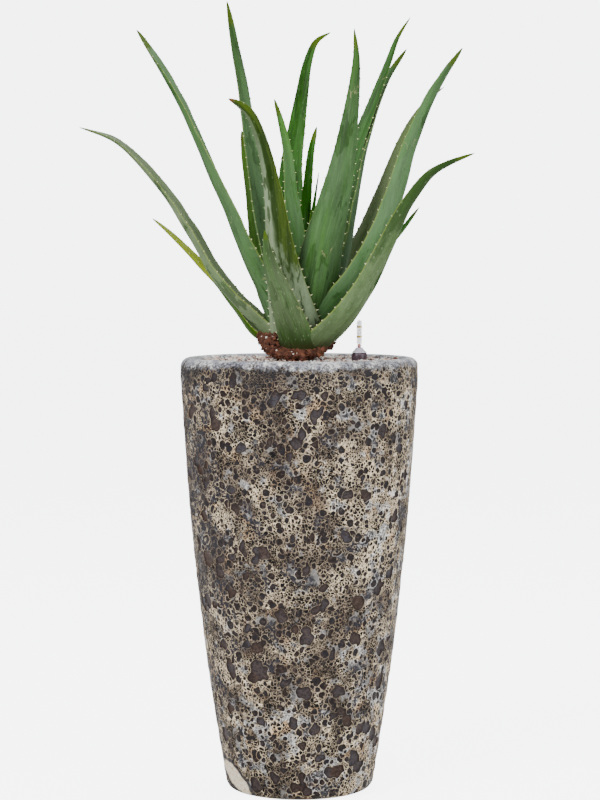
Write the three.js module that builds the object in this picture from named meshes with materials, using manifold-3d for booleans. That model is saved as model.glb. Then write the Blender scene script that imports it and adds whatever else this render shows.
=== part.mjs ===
// A potted aloe vera at life size, in millimetres, +Z up.
// The origin is the middle of the pot's flat underside, and -Y is the front that the photograph shows.
// The pot holds a growing medium, a dressing of gravel, the plant's own ball of soil with the short
// stem and its 18 leaves, and a water gauge whose float is the only piece that moves.

import * as THREE from 'three';
import { mergeVertices } from 'three/addons/utils/BufferGeometryUtils.js';
import Module from 'manifold-3d';

const wasm = await Module();
wasm.setup();

// Driving sizes of the pot, read off its outline
const POT_HEIGHT = 620;
const POT_RADIUS = 170;
const FOOT_RADIUS = 107;
const FOOT_ROUND = 14;
const BELLY = 35;
const LIP_RADIUS = 13;
const LIP_STRAIGHT = 17;
const WALL = 15;
const FLOOR = 18;

// Sides of the pot's round faces, the gap that two touching pieces keep, and the wider one between leaves
const POT_SIDES = 40;
const GAP = 0.3;
const LEAF_CLEARANCE = 1.5 * GAP;

// Slivers that a cut leaves are smoothed away where that moves no surface further than this
const SLIVER = 0.03;

// Levels of what fills the pot
const MEDIUM_TOP = POT_HEIGHT - 20;
const GRAVEL_LEVEL = POT_HEIGHT - 4;
const STONE_RELIEF = 2.6;
const STONE_GRID = { around: 64, across: 10 };

// The plant's own soil ball, narrower from front to back than across
const BALL = {
  neck: 25,
  widest: 56,
  squash: 0.78,
  bottom: POT_HEIGHT - 58,
  widestLevel: POT_HEIGHT + 29,
  top: POT_HEIGHT + 38,
  neckChamfer: 8,
  neckRise: 12,
  bowlStart: -64,
  shoulder: { inset: 5, rise: 5 },
  crest: { inset: 24, drop: 3 },
};

// Where the leaves spring from, and the short stem that carries them
const CROWN = new THREE.Vector3(-4, 0, POT_HEIGHT + 15);
const STEM = {
  radius: 9,
  bottom: CROWN.z - 57,
  top: CROWN.z + 27,
  footInset: 3,
  footRise: 6,
  neckInset: 4,
  neckDrop: 26,
  headDrop: 6,
};

// The water gauge
const GAUGE = {
  x: 85,
  y: -30,
  pipeRadius: 7,
  pipeBore: 5.2,
  pipeBottom: 62,
  pipeTop: POT_HEIGHT - 9,
  drainRadius: 2.5,
  collarRadius: 11.1,
  collarTop: POT_HEIGHT + 7,
  hoodTop: POT_HEIGHT + 14.5,
  tubeRadius: 3.85,
  tubeBore: 2.85,
  tubeTop: POT_HEIGHT + 54,
  rodRadius: 1.2,
  floatRadius: 4.6,
  floatLength: 60,
  tipRadius: 2.3,
  tipTop: POT_HEIGHT + 20,
  tipLength: 12,
  pipeEnd: 2,
  collarBevel: [1.5, 4],
  collarCrown: [3, 1],
  collarSeat: 4,
  hoodInset: 0.6,
  hoodSkirt: 3,
  hoodNeck: 1.2,
  tubeSeat: 5,
  floatChamfer: [1, 2],
  floatShoulder: 6,
};

// Leaf shape, alike for all leaves
const CHANNEL = 0.26;
const THIN = 0.65;
const TIP = { rise: 3, close: 12, round: 0.6 };
const LAST_STATIONS = [0.6, 0.15];
const FRONT_COLUMNS = [0.62, 0, -0.62];
const BACK_COLUMNS = [-0.88, -0.5, 0, 0.5, 0.88];
const STATION_PITCH = 42;
const FEWEST_STATIONS = 7;
const TOOTH = {
  spacing: 30,
  length: 3.6,
  shrink: 0.55,
  halfBase: 1.9,
  lean: 1.2,
  first: 0.12,
  last: 0.95,
  fewest: 4,
  clear: 2.5,
};

// The leaves from the heart outwards. path runs up the middle of the leaf from root to tip, in mm from the
// crown: x, y, z. width and thick are taken at the root. The width falls as (1 - t ** full) ** taper with
// the share t of the length, and tip is what the blunt end adds to it. back gives the compass direction in
// degrees (0 is +X, -90 is the front) that the leaf's back turns to at root and tip.
const LEAVES = [
  { name: 'leaf_heart_right', width: 24, thick: 8, full: 1, taper: 0.65, tip: 8, back: [-20, 0],
    path: [[6, 7, 20], [13, 11, 117], [19, 11, 164], [26, 13, 210], [32, 16, 250]] },
  { name: 'leaf_heart_mid', width: 36, thick: 9, full: 1, taper: 1, tip: 9, back: [60, 80],
    path: [[3, 14, 14], [9, 22, 88], [11, 26, 152], [16, 31, 224], [21, 36, 279], [29, 41, 316]] },
  { name: 'leaf_heart_left', width: 52, thick: 11, full: 1, taper: 1.1, tip: 10, back: [110, 120],
    path: [[-3, -4, 14], [-1, -5, 102], [-3, -4, 159], [-9, 1, 218], [-14, 9, 278], [-22, 13, 317],
      [-32, 17, 354]] },
  { name: 'leaf_broad_centre', width: 86, thick: 17, full: 1, taper: 1.12, tip: 6, back: [-82, -85],
    path: [[8, -14, 8], [26, -30, 81], [40, -46, 152], [54, -56, 208], [66, -60, 263], [75, -60, 319],
      [82, -54, 375], [84, -48, 410], [81, -40, 449]] },
  { name: 'leaf_tall_left', width: 46, thick: 14, full: 1.2, taper: 1, tip: 13, back: [125, 130],
    path: [[-6, 12, 10], [-34, 52, 115], [-51, 76, 185], [-63, 94, 256], [-72, 106, 315], [-80, 114, 374],
      [-91, 120, 433], [-103, 126, 505]] },
  { name: 'leaf_right_upright', width: 66, thick: 14, full: 1.2, taper: 1, tip: 12, back: [-10, 50],
    path: [[16, -2, 12], [49, 10, 78], [70, 22, 141], [80, 42, 203], [92, 66, 269], [110, 88, 331],
      [131, 104, 385], [162, 116, 434]] },
  { name: 'leaf_back_right', width: 46, thick: 13, full: 1.2, taper: 1.05, tip: 6, back: [70, 60],
    path: [[8, 14, 10], [37, 40, 117], [59, 56, 185], [76, 66, 243], [92, 74, 298], [114, 82, 357],
      [135, 90, 413], [148, 95, 448], [167, 100, 479]] },
  { name: 'leaf_back_tall', width: 58, thick: 14, full: 1.4, taper: 1.15, tip: 10, back: [95, 85],
    path: [[-2, 20, 8], [-8, 64, 109], [-9, 98, 197], [-8, 122, 260], [0, 142, 317], [8, 160, 370],
      [17, 174, 420], [29, 180, 450], [51, 184, 465]] },
  { name: 'leaf_right_long', width: 70, thick: 18, full: 1.1, taper: 1, tip: 24, back: [-48, -22],
    path: [[20, -8, 8], [62, -14, 61], [93, -18, 102], [124, -18, 163], [147, -10, 232], [166, 0, 294],
      [190, 10, 350], [212, 16, 388], [238, 24, 427]] },
  { name: 'leaf_upper_left', width: 56, thick: 17, full: 1.1, taper: 0.9, tip: 22, back: [215, 150],
    path: [[-18, -4, 10], [-44, -14, 78], [-71, -24, 138], [-94, -32, 194], [-119, -38, 250],
      [-144, -42, 306], [-172, -42, 363], [-197, -40, 404], [-225, -36, 447]] },
  { name: 'leaf_front_curl', width: 82, thick: 17, full: 1, taper: 1.45, tip: 20, back: [-100, -115],
    path: [[2, -30, 4], [-12, -46, 67], [-22, -62, 121], [-28, -76, 165], [-32, -86, 201], [-41, -98, 255],
      [-53, -106, 298], [-65, -110, 324], [-78, -112, 336], [-94, -114, 345]] },
  { name: 'leaf_right_brown', width: 58, thick: 14, full: 1.2, taper: 1, tip: 12, back: [40, 25],
    path: [[22, 18, 8], [63, 44, 78], [92, 64, 138], [117, 80, 197], [140, 94, 256], [158, 102, 303],
      [178, 108, 338], [198, 112, 362], [218, 116, 379]] },
  { name: 'leaf_back_left', width: 46, thick: 11, full: 1.2, taper: 1, tip: 14, back: [125, 125],
    path: [[-14, 22, 8], [-44, 50, 77], [-57, 82, 138], [-66, 112, 205], [-75, 134, 265], [-82, 150, 316]] },
  { name: 'leaf_far_left', width: 40, thick: 18, full: 1.1, taper: 0.9, tip: 12, back: [176, 140],
    path: [[-22, 2, 6], [-50, 8, 35], [-81, 14, 64], [-119, 20, 109], [-152, 25, 167], [-191, 30, 224],
      [-226, 34, 265], [-262, 38, 296], [-314, 43, 315]] },
  { name: 'leaf_right_front', width: 56, thick: 18, full: 1.1, taper: 0.95, tip: 14, back: [-45, -35],
    path: [[24, -29, 2], [51, -46, 24], [81, -62, 59], [110, -78, 108], [138, -93, 169], [158, -103, 206],
      [185, -110, 241], [211, -116, 257], [245, -122, 270]] },
  { name: 'leaf_low_right', width: 34, thick: 10, full: 1.2, taper: 1, tip: 8, back: [45, 40],
    path: [[22, 26, 6], [51, 48, 51], [90, 80, 95], [130, 108, 139], [159, 126, 171], [183, 140, 203]] },
  { name: 'leaf_low_left', width: 36, thick: 12, full: 1.2, taper: 0.9, tip: 12, back: [160, 155],
    path: [[-30, 10, 4], [-59, 28, 21], [-89, 48, 59], [-120, 62, 96], [-156, 74, 134], [-185, 84, 162],
      [-212, 92, 185]] },
  { name: 'leaf_front_short', width: 53, thick: 11, full: 1.5, taper: 1.1, tip: 6, back: [-100, -110],
    path: [[4, -42, -7], [-11, -66, 40], [-20, -82, 68], [-30, -96, 96], [-39, -110, 125],
      [-44, -126, 165]] },
];

const MATERIALS = {
  pot: { color: '#8f8378', roughness: 0.45 },
  growing_medium: { color: '#4a3526', roughness: 0.95 },
  gravel: { color: '#cdbfb0', roughness: 0.85 },
  root_ball: { color: '#5d3a24', roughness: 0.95 },
  stem: { color: '#9aa36a', roughness: 0.7 },
  leaf: { color: '#6d8a68', roughness: 0.45 },
  gauge_pipe: { color: '#3b3b3d', roughness: 0.5 },
  gauge_collar: { color: '#41303a', roughness: 0.45 },
  gauge_hood: { color: '#c8c3d0', roughness: 0.2 },
  gauge_tube: { color: '#d0d0d2', roughness: 0.15 },
  gauge_float: { color: '#c8501e', roughness: 0.5 },
};

function material(key) {
  return new THREE.MeshStandardMaterial({ metalness: 0, ...MATERIALS[key] });
}

// Always the same stream of numbers between 0 and 1
function seeded(seed) {
  let state = seed;
  return () => {
    state = (state * 1664525 + 1013904223) % 4294967296;
    return state / 4294967296;
  };
}

// A closed geometry as a solid that can be joined and cut
function toSolid(geometry) {
  geometry.deleteAttribute('normal');
  geometry.deleteAttribute('uv');
  const merged = mergeVertices(geometry, 1e-3);
  const corners = merged.index.array;
  const faces = [];
  for (let i = 0; i < corners.length; i += 3) {
    const [a, b, c] = corners.slice(i, i + 3);
    if (a !== b && b !== c && c !== a) faces.push(a, b, c);
  }
  const mesh = new wasm.Mesh({
    numProp: 3,
    vertProperties: new Float32Array(merged.attributes.position.array),
    triVerts: new Uint32Array(faces),
  });
  return new wasm.Manifold(mesh);
}

function toGeometry(solid) {
  const mesh = solid.getMesh();
  const geometry = new THREE.BufferGeometry();
  geometry.setAttribute('position', new THREE.BufferAttribute(mesh.vertProperties, 3));
  geometry.setIndex(new THREE.BufferAttribute(mesh.triVerts, 1));
  return geometry;
}

// The biggest of the bodies that a cut leaves, without its loose scraps
function biggest(solid) {
  const bodies = solid.decompose();
  const best = bodies.reduce((bigger, body) => (body.volume() > bigger.volume() ? body : bigger));
  return best.asOriginal().simplify(SLIVER);
}

function addPiece(group, name, geometry, materialKey) {
  geometry.computeVertexNormals();
  const mesh = new THREE.Mesh(geometry, material(materialKey));
  mesh.name = name;
  group.add(mesh);
}

// A round piece about the Z axis, from a profile of [radius, height] points that closes on the axis or on
// itself
function turned(profile, segments) {
  const points = profile.map(([radius, height]) => new THREE.Vector2(radius, height));
  return new THREE.LatheGeometry(points, segments).rotateX(Math.PI / 2);
}

function arc(centreRadius, centreHeight, radius, fromDegrees, toDegrees, steps) {
  const points = [];
  for (let i = 0; i <= steps; i += 1) {
    const angle = THREE.MathUtils.degToRad(fromDegrees + ((toDegrees - fromDegrees) * i) / steps);
    points.push([centreRadius + radius * Math.cos(angle), centreHeight + radius * Math.sin(angle)]);
  }
  return points;
}

// Outer radius of the pot between its rounded foot and its lip: a straight taper with a slight belly
function potRadius(height) {
  const lipStart = POT_HEIGHT - LIP_RADIUS - LIP_STRAIGHT;
  const share = (height - FOOT_ROUND) / (lipStart - FOOT_ROUND);
  return FOOT_RADIUS + (POT_RADIUS - FOOT_RADIUS) * share + BELLY * share * (1 - share);
}

// Inner radius: the lip's thickness at the top, one wall's thickness further down
function boreRadius(height) {
  return Math.min(POT_RADIUS - 2 * LIP_RADIUS, potRadius(height) - WALL);
}

function levels(from, to, steps) {
  return Array.from({ length: steps + 1 }, (unused, i) => from + ((to - from) * i) / steps);
}

// The pot: thick wall, rolled lip, rounded foot and a flat underside
function buildPot() {
  const lipLevel = POT_HEIGHT - LIP_RADIUS;
  const lipStart = lipLevel - LIP_STRAIGHT;
  const outside = levels(FOOT_ROUND, lipStart, 6).map((height) => [potRadius(height), height]);
  const inside = levels(lipStart, FLOOR + FOOT_ROUND, 4).map((height) => [boreRadius(height), height]);
  const foot = arc(FOOT_RADIUS - FOOT_ROUND, FOOT_ROUND, FOOT_ROUND, -90, -22, 3);
  const lip = arc(POT_RADIUS - LIP_RADIUS, lipLevel, LIP_RADIUS, 0, 180, 7);
  const floor = [[boreRadius(FLOOR) - FOOT_ROUND, FLOOR], [0, FLOOR]];
  return turned([[0, 0], ...foot, ...outside, ...lip, ...inside, ...floor], POT_SIDES);
}

// The soil ball's profile: a plain neck down in the pot, opening like a bowl above the gravel
function ballProfile(grow) {
  const bowl = arc(0, BALL.widestLevel, 1, BALL.bowlStart, 0, 6).map(([across, down]) => [
    BALL.widest * across + grow,
    BALL.widestLevel + (BALL.widestLevel - GRAVEL_LEVEL) * (down - BALL.widestLevel),
  ]);
  return [
    [0, BALL.bottom - grow],
    [BALL.neck - BALL.neckChamfer + grow, BALL.bottom - grow],
    [BALL.neck + grow, BALL.bottom + BALL.neckRise],
    ...bowl,
    [BALL.widest - BALL.shoulder.inset + grow, BALL.widestLevel + BALL.shoulder.rise + grow],
    [BALL.widest - BALL.crest.inset, BALL.top - BALL.crest.drop + grow],
    [0, BALL.top + grow],
  ];
}

function ballGeometry(grow) {
  return turned(ballProfile(grow), 24).scale(1, BALL.squash, 1).translate(CROWN.x, 0, 0);
}

// What fills the pot below the gravel, with room for the soil ball and the gauge's pipe
function buildMedium() {
  const heights = levels(FLOOR + FOOT_ROUND, MEDIUM_TOP, 4);
  const side = heights.map((height) => [boreRadius(height) - GAP, height]);
  const bottom = [[0, FLOOR + GAP], [boreRadius(FLOOR) - FOOT_ROUND - GAP, FLOOR + GAP]];
  const filling = toSolid(turned([...bottom, ...side, [0, MEDIUM_TOP]], POT_SIDES));
  const pipe = toSolid(turned(
    [
      [0, GAUGE.pipeBottom - GAP],
      [GAUGE.pipeRadius + GAP, GAUGE.pipeBottom - GAP],
      [GAUGE.pipeRadius + GAP, POT_HEIGHT],
      [0, POT_HEIGHT],
    ],
    16,
  ).translate(GAUGE.x, GAUGE.y, 0));
  return toGeometry(biggest(filling.subtract(toSolid(ballGeometry(GAP))).subtract(pipe)));
}

// The gravel dressing: a ring whose top is a seeded relief of stones
function buildGravel() {
  const { around, across } = STONE_GRID;
  const random = seeded(7);
  const bottom = MEDIUM_TOP + GAP;
  const outer = (boreRadius(POT_HEIGHT) - GAP) * Math.cos(Math.PI / POT_SIDES);
  const inner = BALL.neck + 2 * GAP;
  const positions = [];
  const faces = [];
  for (let i = 0; i < around; i += 1) {
    const angle = (2 * Math.PI * i) / around;
    const hole = new THREE.Vector2(inner * Math.cos(angle) + CROWN.x, inner * BALL.squash * Math.sin(angle));
    const rim = new THREE.Vector2(outer * Math.cos(angle), outer * Math.sin(angle));
    for (let j = 0; j <= across; j += 1) {
      const edge = j === 0 || j === across;
      const slide = edge ? 0 : (random() - 0.5) * 0.5;
      const place = hole.clone().lerp(rim, (j + slide) / across);
      const height = GRAVEL_LEVEL + (random() - 0.5) * 2 * STONE_RELIEF - (edge ? STONE_RELIEF : 0);
      positions.push(place.x, place.y, height);
    }
    positions.push(rim.x, rim.y, bottom, hole.x, hole.y, bottom);
  }
  const perRay = across + 3;
  for (let i = 0; i < around; i += 1) {
    const ray = i * perRay;
    const next = ((i + 1) % around) * perRay;
    for (let j = 0; j < perRay; j += 1) {
      const k = (j + 1) % perRay;
      faces.push(ray + j, ray + k, next + k, ray + j, next + k, next + j);
    }
  }
  const geometry = new THREE.BufferGeometry();
  geometry.setAttribute('position', new THREE.Float32BufferAttribute(positions, 3));
  geometry.setIndex(faces);
  const well = toSolid(turned([
    [0, 0],
    [GAUGE.collarRadius + GAP, 0],
    [GAUGE.collarRadius + GAP, GAUGE.collarTop],
    [0, GAUGE.collarTop],
  ], 20).translate(GAUGE.x, GAUGE.y, 0));
  return toGeometry(biggest(toSolid(geometry).subtract(well)));
}

// The directions along, across and out of the front of a leaf at share t of its length
function leafFrame(leaf, curve, t) {
  const [rootBack, tipBack] = leaf.back;
  const back = THREE.MathUtils.degToRad(rootBack + (tipBack - rootBack) * t);
  const along = curve.getTangentAt(t);
  const level = new THREE.Vector3(-Math.sin(back), Math.cos(back), 0);
  const front = new THREE.Vector3().crossVectors(along, level).normalize();
  const across = new THREE.Vector3().crossVectors(front, along).normalize();
  return { origin: curve.getPointAt(t), along, across, front };
}

function leafWidth(leaf, t) {
  const blade = leaf.width * (1 - t ** leaf.full) ** leaf.taper;
  return blade + leaf.tip * t ** TIP.rise * (1 - t ** TIP.close) ** TIP.round;
}

// A point of the leaf's skin: u runs from -1 to 1 across it, on its hollow front or its rounded back
function leafPoint(leaf, curve, t, u, onBack, grow) {
  const frame = leafFrame(leaf, curve, t);
  const half = leafWidth(leaf, t) / 2 + grow;
  const thick = leaf.thick * (1 - t) ** THIN + 2 * grow;
  const hollow = thick / 2 + CHANNEL * half * (u * u - 0.5);
  const depth = onBack ? hollow - thick * Math.sqrt(1 - u * u) : hollow;
  return frame.origin.addScaledVector(frame.across, half * u).addScaledVector(frame.front, depth);
}

// The margin from root to tip: plain stretches with a small forward-leaning tooth at each spacing
function marginPoints(leaf, curve, side, stations, grow) {
  const length = curve.getLength();
  const count = Math.max(TOOTH.fewest, Math.round((length * (TOOTH.last - TOOTH.first)) / TOOTH.spacing));
  const halfBase = TOOTH.halfBase / length;
  const lean = TOOTH.lean / length;
  const marks = [];
  for (let k = 0; k < count; k += 1) {
    const t = TOOTH.first + ((TOOTH.last - TOOTH.first) * (k + (side > 0 ? 0.3 : 0.7))) / count;
    marks.push({ t: t - halfBase, out: 0, ahead: -grow });
    marks.push({ t: t + lean, out: TOOTH.length * (1 - TOOTH.shrink * t) + 2 * grow, ahead: 0 });
    marks.push({ t: t + halfBase + lean / 2, out: 0, ahead: grow });
  }
  const plain = stations.filter((t) => marks.every((mark) => Math.abs(mark.t - t) > TOOTH.clear * halfBase));
  const all = [...marks, ...plain.map((t) => ({ t, out: 0, ahead: 0 }))].sort((a, b) => a.t - b.t);
  return all.map(({ t, out, ahead }) => {
    const { along, across } = leafFrame(leaf, curve, t);
    const point = leafPoint(leaf, curve, t, side, false, grow);
    return { t, point: point.addScaledVector(across, side * out).addScaledVector(along, ahead) };
  });
}

// One leaf: columns of points from root to tip, joined by strips, with both toothed margins
function leafSolid(leaf, grow = 0) {
  const path = leaf.path.map(([x, y, z]) => new THREE.Vector3(x, y, z).add(CROWN));
  const curve = new THREE.CatmullRomCurve3(path, false, 'centripetal');
  const steps = Math.max(FEWEST_STATIONS, Math.round(curve.getLength() / STATION_PITCH));
  const [beforeLast, last] = LAST_STATIONS;
  const stations = [...levels(0, 1 - beforeLast / steps, steps), 1 - last / steps];
  const positions = [];
  const faces = [];
  const add = (point) => positions.push(point.x, point.y, point.z) / 3 - 1;
  const end = curve.getPointAt(1).addScaledVector(curve.getTangentAt(1), grow);
  const tip = add(end);
  const column = (u, onBack) => {
    const points = stations.map((t) => ({ t, index: add(leafPoint(leaf, curve, t, u, onBack, grow)) }));
    return [...points, { t: 1, index: tip }];
  };
  const margin = (side) => {
    const points = marginPoints(leaf, curve, side, stations, grow);
    return [...points.map(({ t, point }) => ({ t, index: add(point) })), { t: 1, index: tip }];
  };
  const columns = [
    margin(1),
    ...FRONT_COLUMNS.map((u) => column(u, false)),
    margin(-1),
    ...BACK_COLUMNS.map((u) => column(u, true)),
  ];
  const face = (a, b, c) => {
    if (a !== b && b !== c && c !== a) faces.push(a, b, c);
  };
  columns.forEach((left, i) => {
    const right = columns[(i + 1) % columns.length];
    let a = 0;
    let b = 0;
    while (a < left.length - 1 || b < right.length - 1) {
      const stepLeft = b === right.length - 1 || (a < left.length - 1 && left[a + 1].t <= right[b + 1].t);
      if (stepLeft) {
        face(left[a].index, right[b].index, left[a + 1].index);
        a += 1;
      } else {
        face(left[a].index, right[b].index, right[b + 1].index);
        b += 1;
      }
    }
  });
  const root = leafPoint(leaf, curve, 0, 0, false, grow).add(leafPoint(leaf, curve, 0, 0, true, grow));
  const rootCentre = add(root.multiplyScalar(0.5).addScaledVector(curve.getTangentAt(0), -grow));
  columns.forEach((left, i) => face(columns[(i + 1) % columns.length][0].index, left[0].index, rootCentre));
  const geometry = new THREE.BufferGeometry();
  geometry.setAttribute('position', new THREE.Float32BufferAttribute(positions, 3));
  geometry.setIndex(faces);
  return toSolid(geometry);
}

// The short stem inside the ball
function stemGeometry(grow) {
  const radius = STEM.radius + grow;
  const top = STEM.top + grow;
  return turned([
    [0, STEM.bottom - grow],
    [radius - STEM.footInset, STEM.bottom - grow],
    [radius, STEM.bottom + STEM.footRise],
    [radius, top - STEM.neckDrop],
    [radius - STEM.neckInset, top - STEM.headDrop],
    [0, top],
  ], 16).translate(CROWN.x, CROWN.y, 0);
}

// The plant: each leaf is trimmed by the stem and by the leaves inside it, then all are cut out of the ball
function addPlant(group) {
  let taken = toSolid(stemGeometry(GAP));
  addPiece(group, 'stem', stemGeometry(0), 'stem');
  LEAVES.forEach((leaf) => {
    const whole = leafSolid(leaf);
    addPiece(group, leaf.name, toGeometry(biggest(whole.subtract(taken))), 'leaf');
    taken = taken.add(leafSolid(leaf, LEAF_CLEARANCE)).add(whole);
  });
  const ball = biggest(toSolid(ballGeometry(0)).subtract(taken));
  addPiece(group, 'root_ball', toGeometry(ball), 'root_ball');
}

// The gauge: a pipe down to the pot's floor, a collar on the gravel, a clear hood and tube, and the float
function addGauge(group) {
  const gauge = new THREE.Group();
  gauge.position.set(GAUGE.x, GAUGE.y, 0);
  const { pipeRadius, pipeBore, pipeBottom, pipeTop, drainRadius, collarRadius, collarTop, hoodTop } = GAUGE;
  const { tubeRadius, tubeBore, tubeTop, rodRadius, floatRadius, floatLength } = GAUGE;
  const [bevelInset, bevelDrop] = GAUGE.collarBevel;
  const [crownInset, crownDrop] = GAUGE.collarCrown;
  const [chamferInset, chamferRise] = GAUGE.floatChamfer;
  const pipeFloor = pipeBottom + GAUGE.pipeEnd;
  const tubeBottom = pipeTop + GAUGE.tubeSeat;
  addPiece(gauge, 'gauge_pipe', turned([
    [drainRadius, pipeBottom],
    [pipeRadius, pipeBottom],
    [pipeRadius, pipeTop],
    [pipeBore, pipeTop],
    [pipeBore, pipeFloor],
    [drainRadius, pipeFloor],
    [drainRadius, pipeBottom],
  ], 16), 'gauge_pipe');
  addPiece(gauge, 'gauge_collar', turned([
    [pipeBore, pipeTop + GAP],
    [collarRadius, pipeTop + GAP],
    [collarRadius, collarTop - bevelDrop],
    [collarRadius - bevelInset, collarTop - crownDrop],
    [collarRadius - crownInset, collarTop],
    [tubeRadius + GAP, collarTop],
    [tubeRadius + GAP, pipeTop + GAUGE.collarSeat],
    [pipeBore, pipeTop + GAP],
  ], 16), 'gauge_collar');
  addPiece(gauge, 'gauge_hood', turned([
    [tubeRadius + GAP, collarTop + GAP],
    [collarRadius - GAUGE.hoodInset, collarTop + GAP],
    [tubeRadius + GAUGE.hoodSkirt, collarTop + GAUGE.hoodSkirt],
    [tubeRadius + GAUGE.hoodNeck, hoodTop],
    [tubeRadius + GAP, hoodTop],
    [tubeRadius + GAP, collarTop + GAP],
  ], 16), 'gauge_hood');
  const dome = arc(0, tubeTop - tubeRadius, tubeRadius, 0, 90, 3);
  const hollow = arc(0, tubeTop - tubeRadius, tubeBore, 90, 0, 3);
  addPiece(gauge, 'gauge_tube', turned([
    [tubeBore, tubeBottom],
    [tubeRadius, tubeBottom],
    ...dome,
    ...hollow,
    [tubeBore, tubeBottom],
  ], 16), 'gauge_tube');
  const floatBottom = pipeFloor + GAP;
  addPiece(gauge, 'gauge_float', turned([
    [0, floatBottom],
    [floatRadius - chamferInset, floatBottom],
    [floatRadius, floatBottom + chamferRise],
    [floatRadius, floatBottom + floatLength - GAUGE.floatShoulder],
    [rodRadius, floatBottom + floatLength],
    [rodRadius, GAUGE.tipTop - GAUGE.tipLength],
    [GAUGE.tipRadius, GAUGE.tipTop - GAUGE.tipLength + chamferInset],
    [GAUGE.tipRadius, GAUGE.tipTop - chamferInset],
    [0, GAUGE.tipTop],
  ], 12), 'gauge_float');
  group.add(gauge);
}

const group = new THREE.Group();
addPiece(group, 'pot', buildPot(), 'pot');
addPiece(group, 'growing_medium', buildMedium(), 'growing_medium');
addPiece(group, 'gravel', buildGravel(), 'gravel');
addPlant(group);
addGauge(group);

export default group;
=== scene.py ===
# A potted aloe vera at life size, in metres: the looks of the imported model, piece by piece, from the floor
# up. The pot stands on the origin and the photograph's side faces -Y.
import math
import bpy
import numpy as np
from mathutils import Matrix, Vector, noise


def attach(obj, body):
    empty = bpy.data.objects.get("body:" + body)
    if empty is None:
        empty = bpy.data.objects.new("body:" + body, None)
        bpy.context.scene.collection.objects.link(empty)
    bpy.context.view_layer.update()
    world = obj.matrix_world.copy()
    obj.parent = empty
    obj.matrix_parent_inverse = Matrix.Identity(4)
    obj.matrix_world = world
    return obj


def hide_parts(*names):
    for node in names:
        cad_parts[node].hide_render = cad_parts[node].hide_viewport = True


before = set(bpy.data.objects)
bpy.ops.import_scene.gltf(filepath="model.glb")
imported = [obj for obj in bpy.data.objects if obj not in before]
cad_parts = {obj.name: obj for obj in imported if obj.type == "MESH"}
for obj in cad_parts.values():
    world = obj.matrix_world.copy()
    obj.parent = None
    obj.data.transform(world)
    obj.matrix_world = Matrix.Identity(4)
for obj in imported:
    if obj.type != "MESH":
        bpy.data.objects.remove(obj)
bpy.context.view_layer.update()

# The camera stands 3.3 m in front of the pot, a little above its lip, and looks slightly down.
# A long lens takes pot and plant into an upright frame, as in the photograph.
CAMERA_PLACE = (0.0009, -3.3, 0.755)
LOOK_DOWN = math.radians(3.41)
FOCAL_PIXELS = 2305
PICTURE_HEIGHT = 800
SENSOR = 36
bpy.ops.object.camera_add(location=CAMERA_PLACE, rotation=(math.pi / 2 - LOOK_DOWN, 0, 0))
camera = bpy.context.object
camera.name = "camera"
camera.data.sensor_width = SENSOR
camera.data.lens = FOCAL_PIXELS / PICTURE_HEIGHT * SENSOR
bpy.context.scene.camera = camera


# The studio: a pale matt floor that runs out to the horizon, and pale air around it.
# A big soft light stands at the left of the camera, a weaker one at its right, and one hangs overhead.
FLOOR_SIZE = 60
FLOOR_DROP = 0.0004
FLOOR_LIFT = 5.45
AIR_LIGHT = 0.55
AIR_SEEN = 6.0
LIGHTS = {
    "key": {"place": (-2.2, -2.6, 2.6), "size": 1.8, "watts": 158},
    "fill": {"place": (2.8, -2.4, 1.5), "size": 2.2, "watts": 88},
    "top": {"place": (0.3, 1.2, 3.2), "size": 1.6, "watts": 70},
}


def put(tree, kind, inputs=None, **settings):
    """A shader node, with its inputs filled by values or by the outputs of other nodes."""
    node = tree.nodes.new("ShaderNode" + kind)
    for name, value in settings.items():
        setattr(node, name, value)
    for name, value in (inputs or {}).items():
        if isinstance(value, bpy.types.NodeSocket):
            tree.links.new(value, node.inputs[name])
        else:
            node.inputs[name].default_value = value
    return node


def paint(red, green, blue):
    """A colour as it looks on a screen, 0 to 255, in the shader's linear values."""
    linear = [(c / 255 / 12.92) if c <= 10 else ((c / 255 + 0.055) / 1.055) ** 2.4 for c in (red, green,
                                                                                             blue)]
    return (*linear, 1)


def new_material(name, **values):
    """A material with a Principled shader whose constant values are set on its own sockets."""
    material = bpy.data.materials.new(name)
    material.use_nodes = True
    tree = material.node_tree
    shader = tree.nodes["Principled BSDF"]
    for socket, value in values.items():
        shader.inputs[socket.replace("_", " ")].default_value = value
    return material, tree, shader


bpy.ops.object.select_all(action="DESELECT")
bpy.ops.mesh.primitive_plane_add(size=FLOOR_SIZE, location=(0, 0, -FLOOR_DROP))
floor = bpy.context.object
floor.name = "studio_floor"
floor_material, tree, shader = new_material("studio_paper", Roughness=0.9)
shader.inputs["Base Color"].default_value = paint(240, 240, 240)
shader.inputs["Emission Color"].default_value = paint(250, 251, 255)
seen = put(tree, "LightPath").outputs["Is Camera Ray"]
lift = put(tree, "Math", {0: seen, 1: FLOOR_LIFT}, operation="MULTIPLY").outputs[0]
tree.links.new(lift, shader.inputs["Emission Strength"])
floor.data.materials.append(floor_material)

world = bpy.data.worlds.new("pale_air")
bpy.context.scene.world = world
world.use_nodes = True
air = world.node_tree.nodes["Background"]
air.inputs["Color"].default_value = paint(250, 251, 255)
seen = put(world.node_tree, "LightPath").outputs["Is Camera Ray"]
strength = put(world.node_tree, "MapRange", {"Value": seen, "To Min": AIR_LIGHT,
                                             "To Max": AIR_SEEN}).outputs[0]
world.node_tree.links.new(strength, air.inputs["Strength"])

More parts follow.
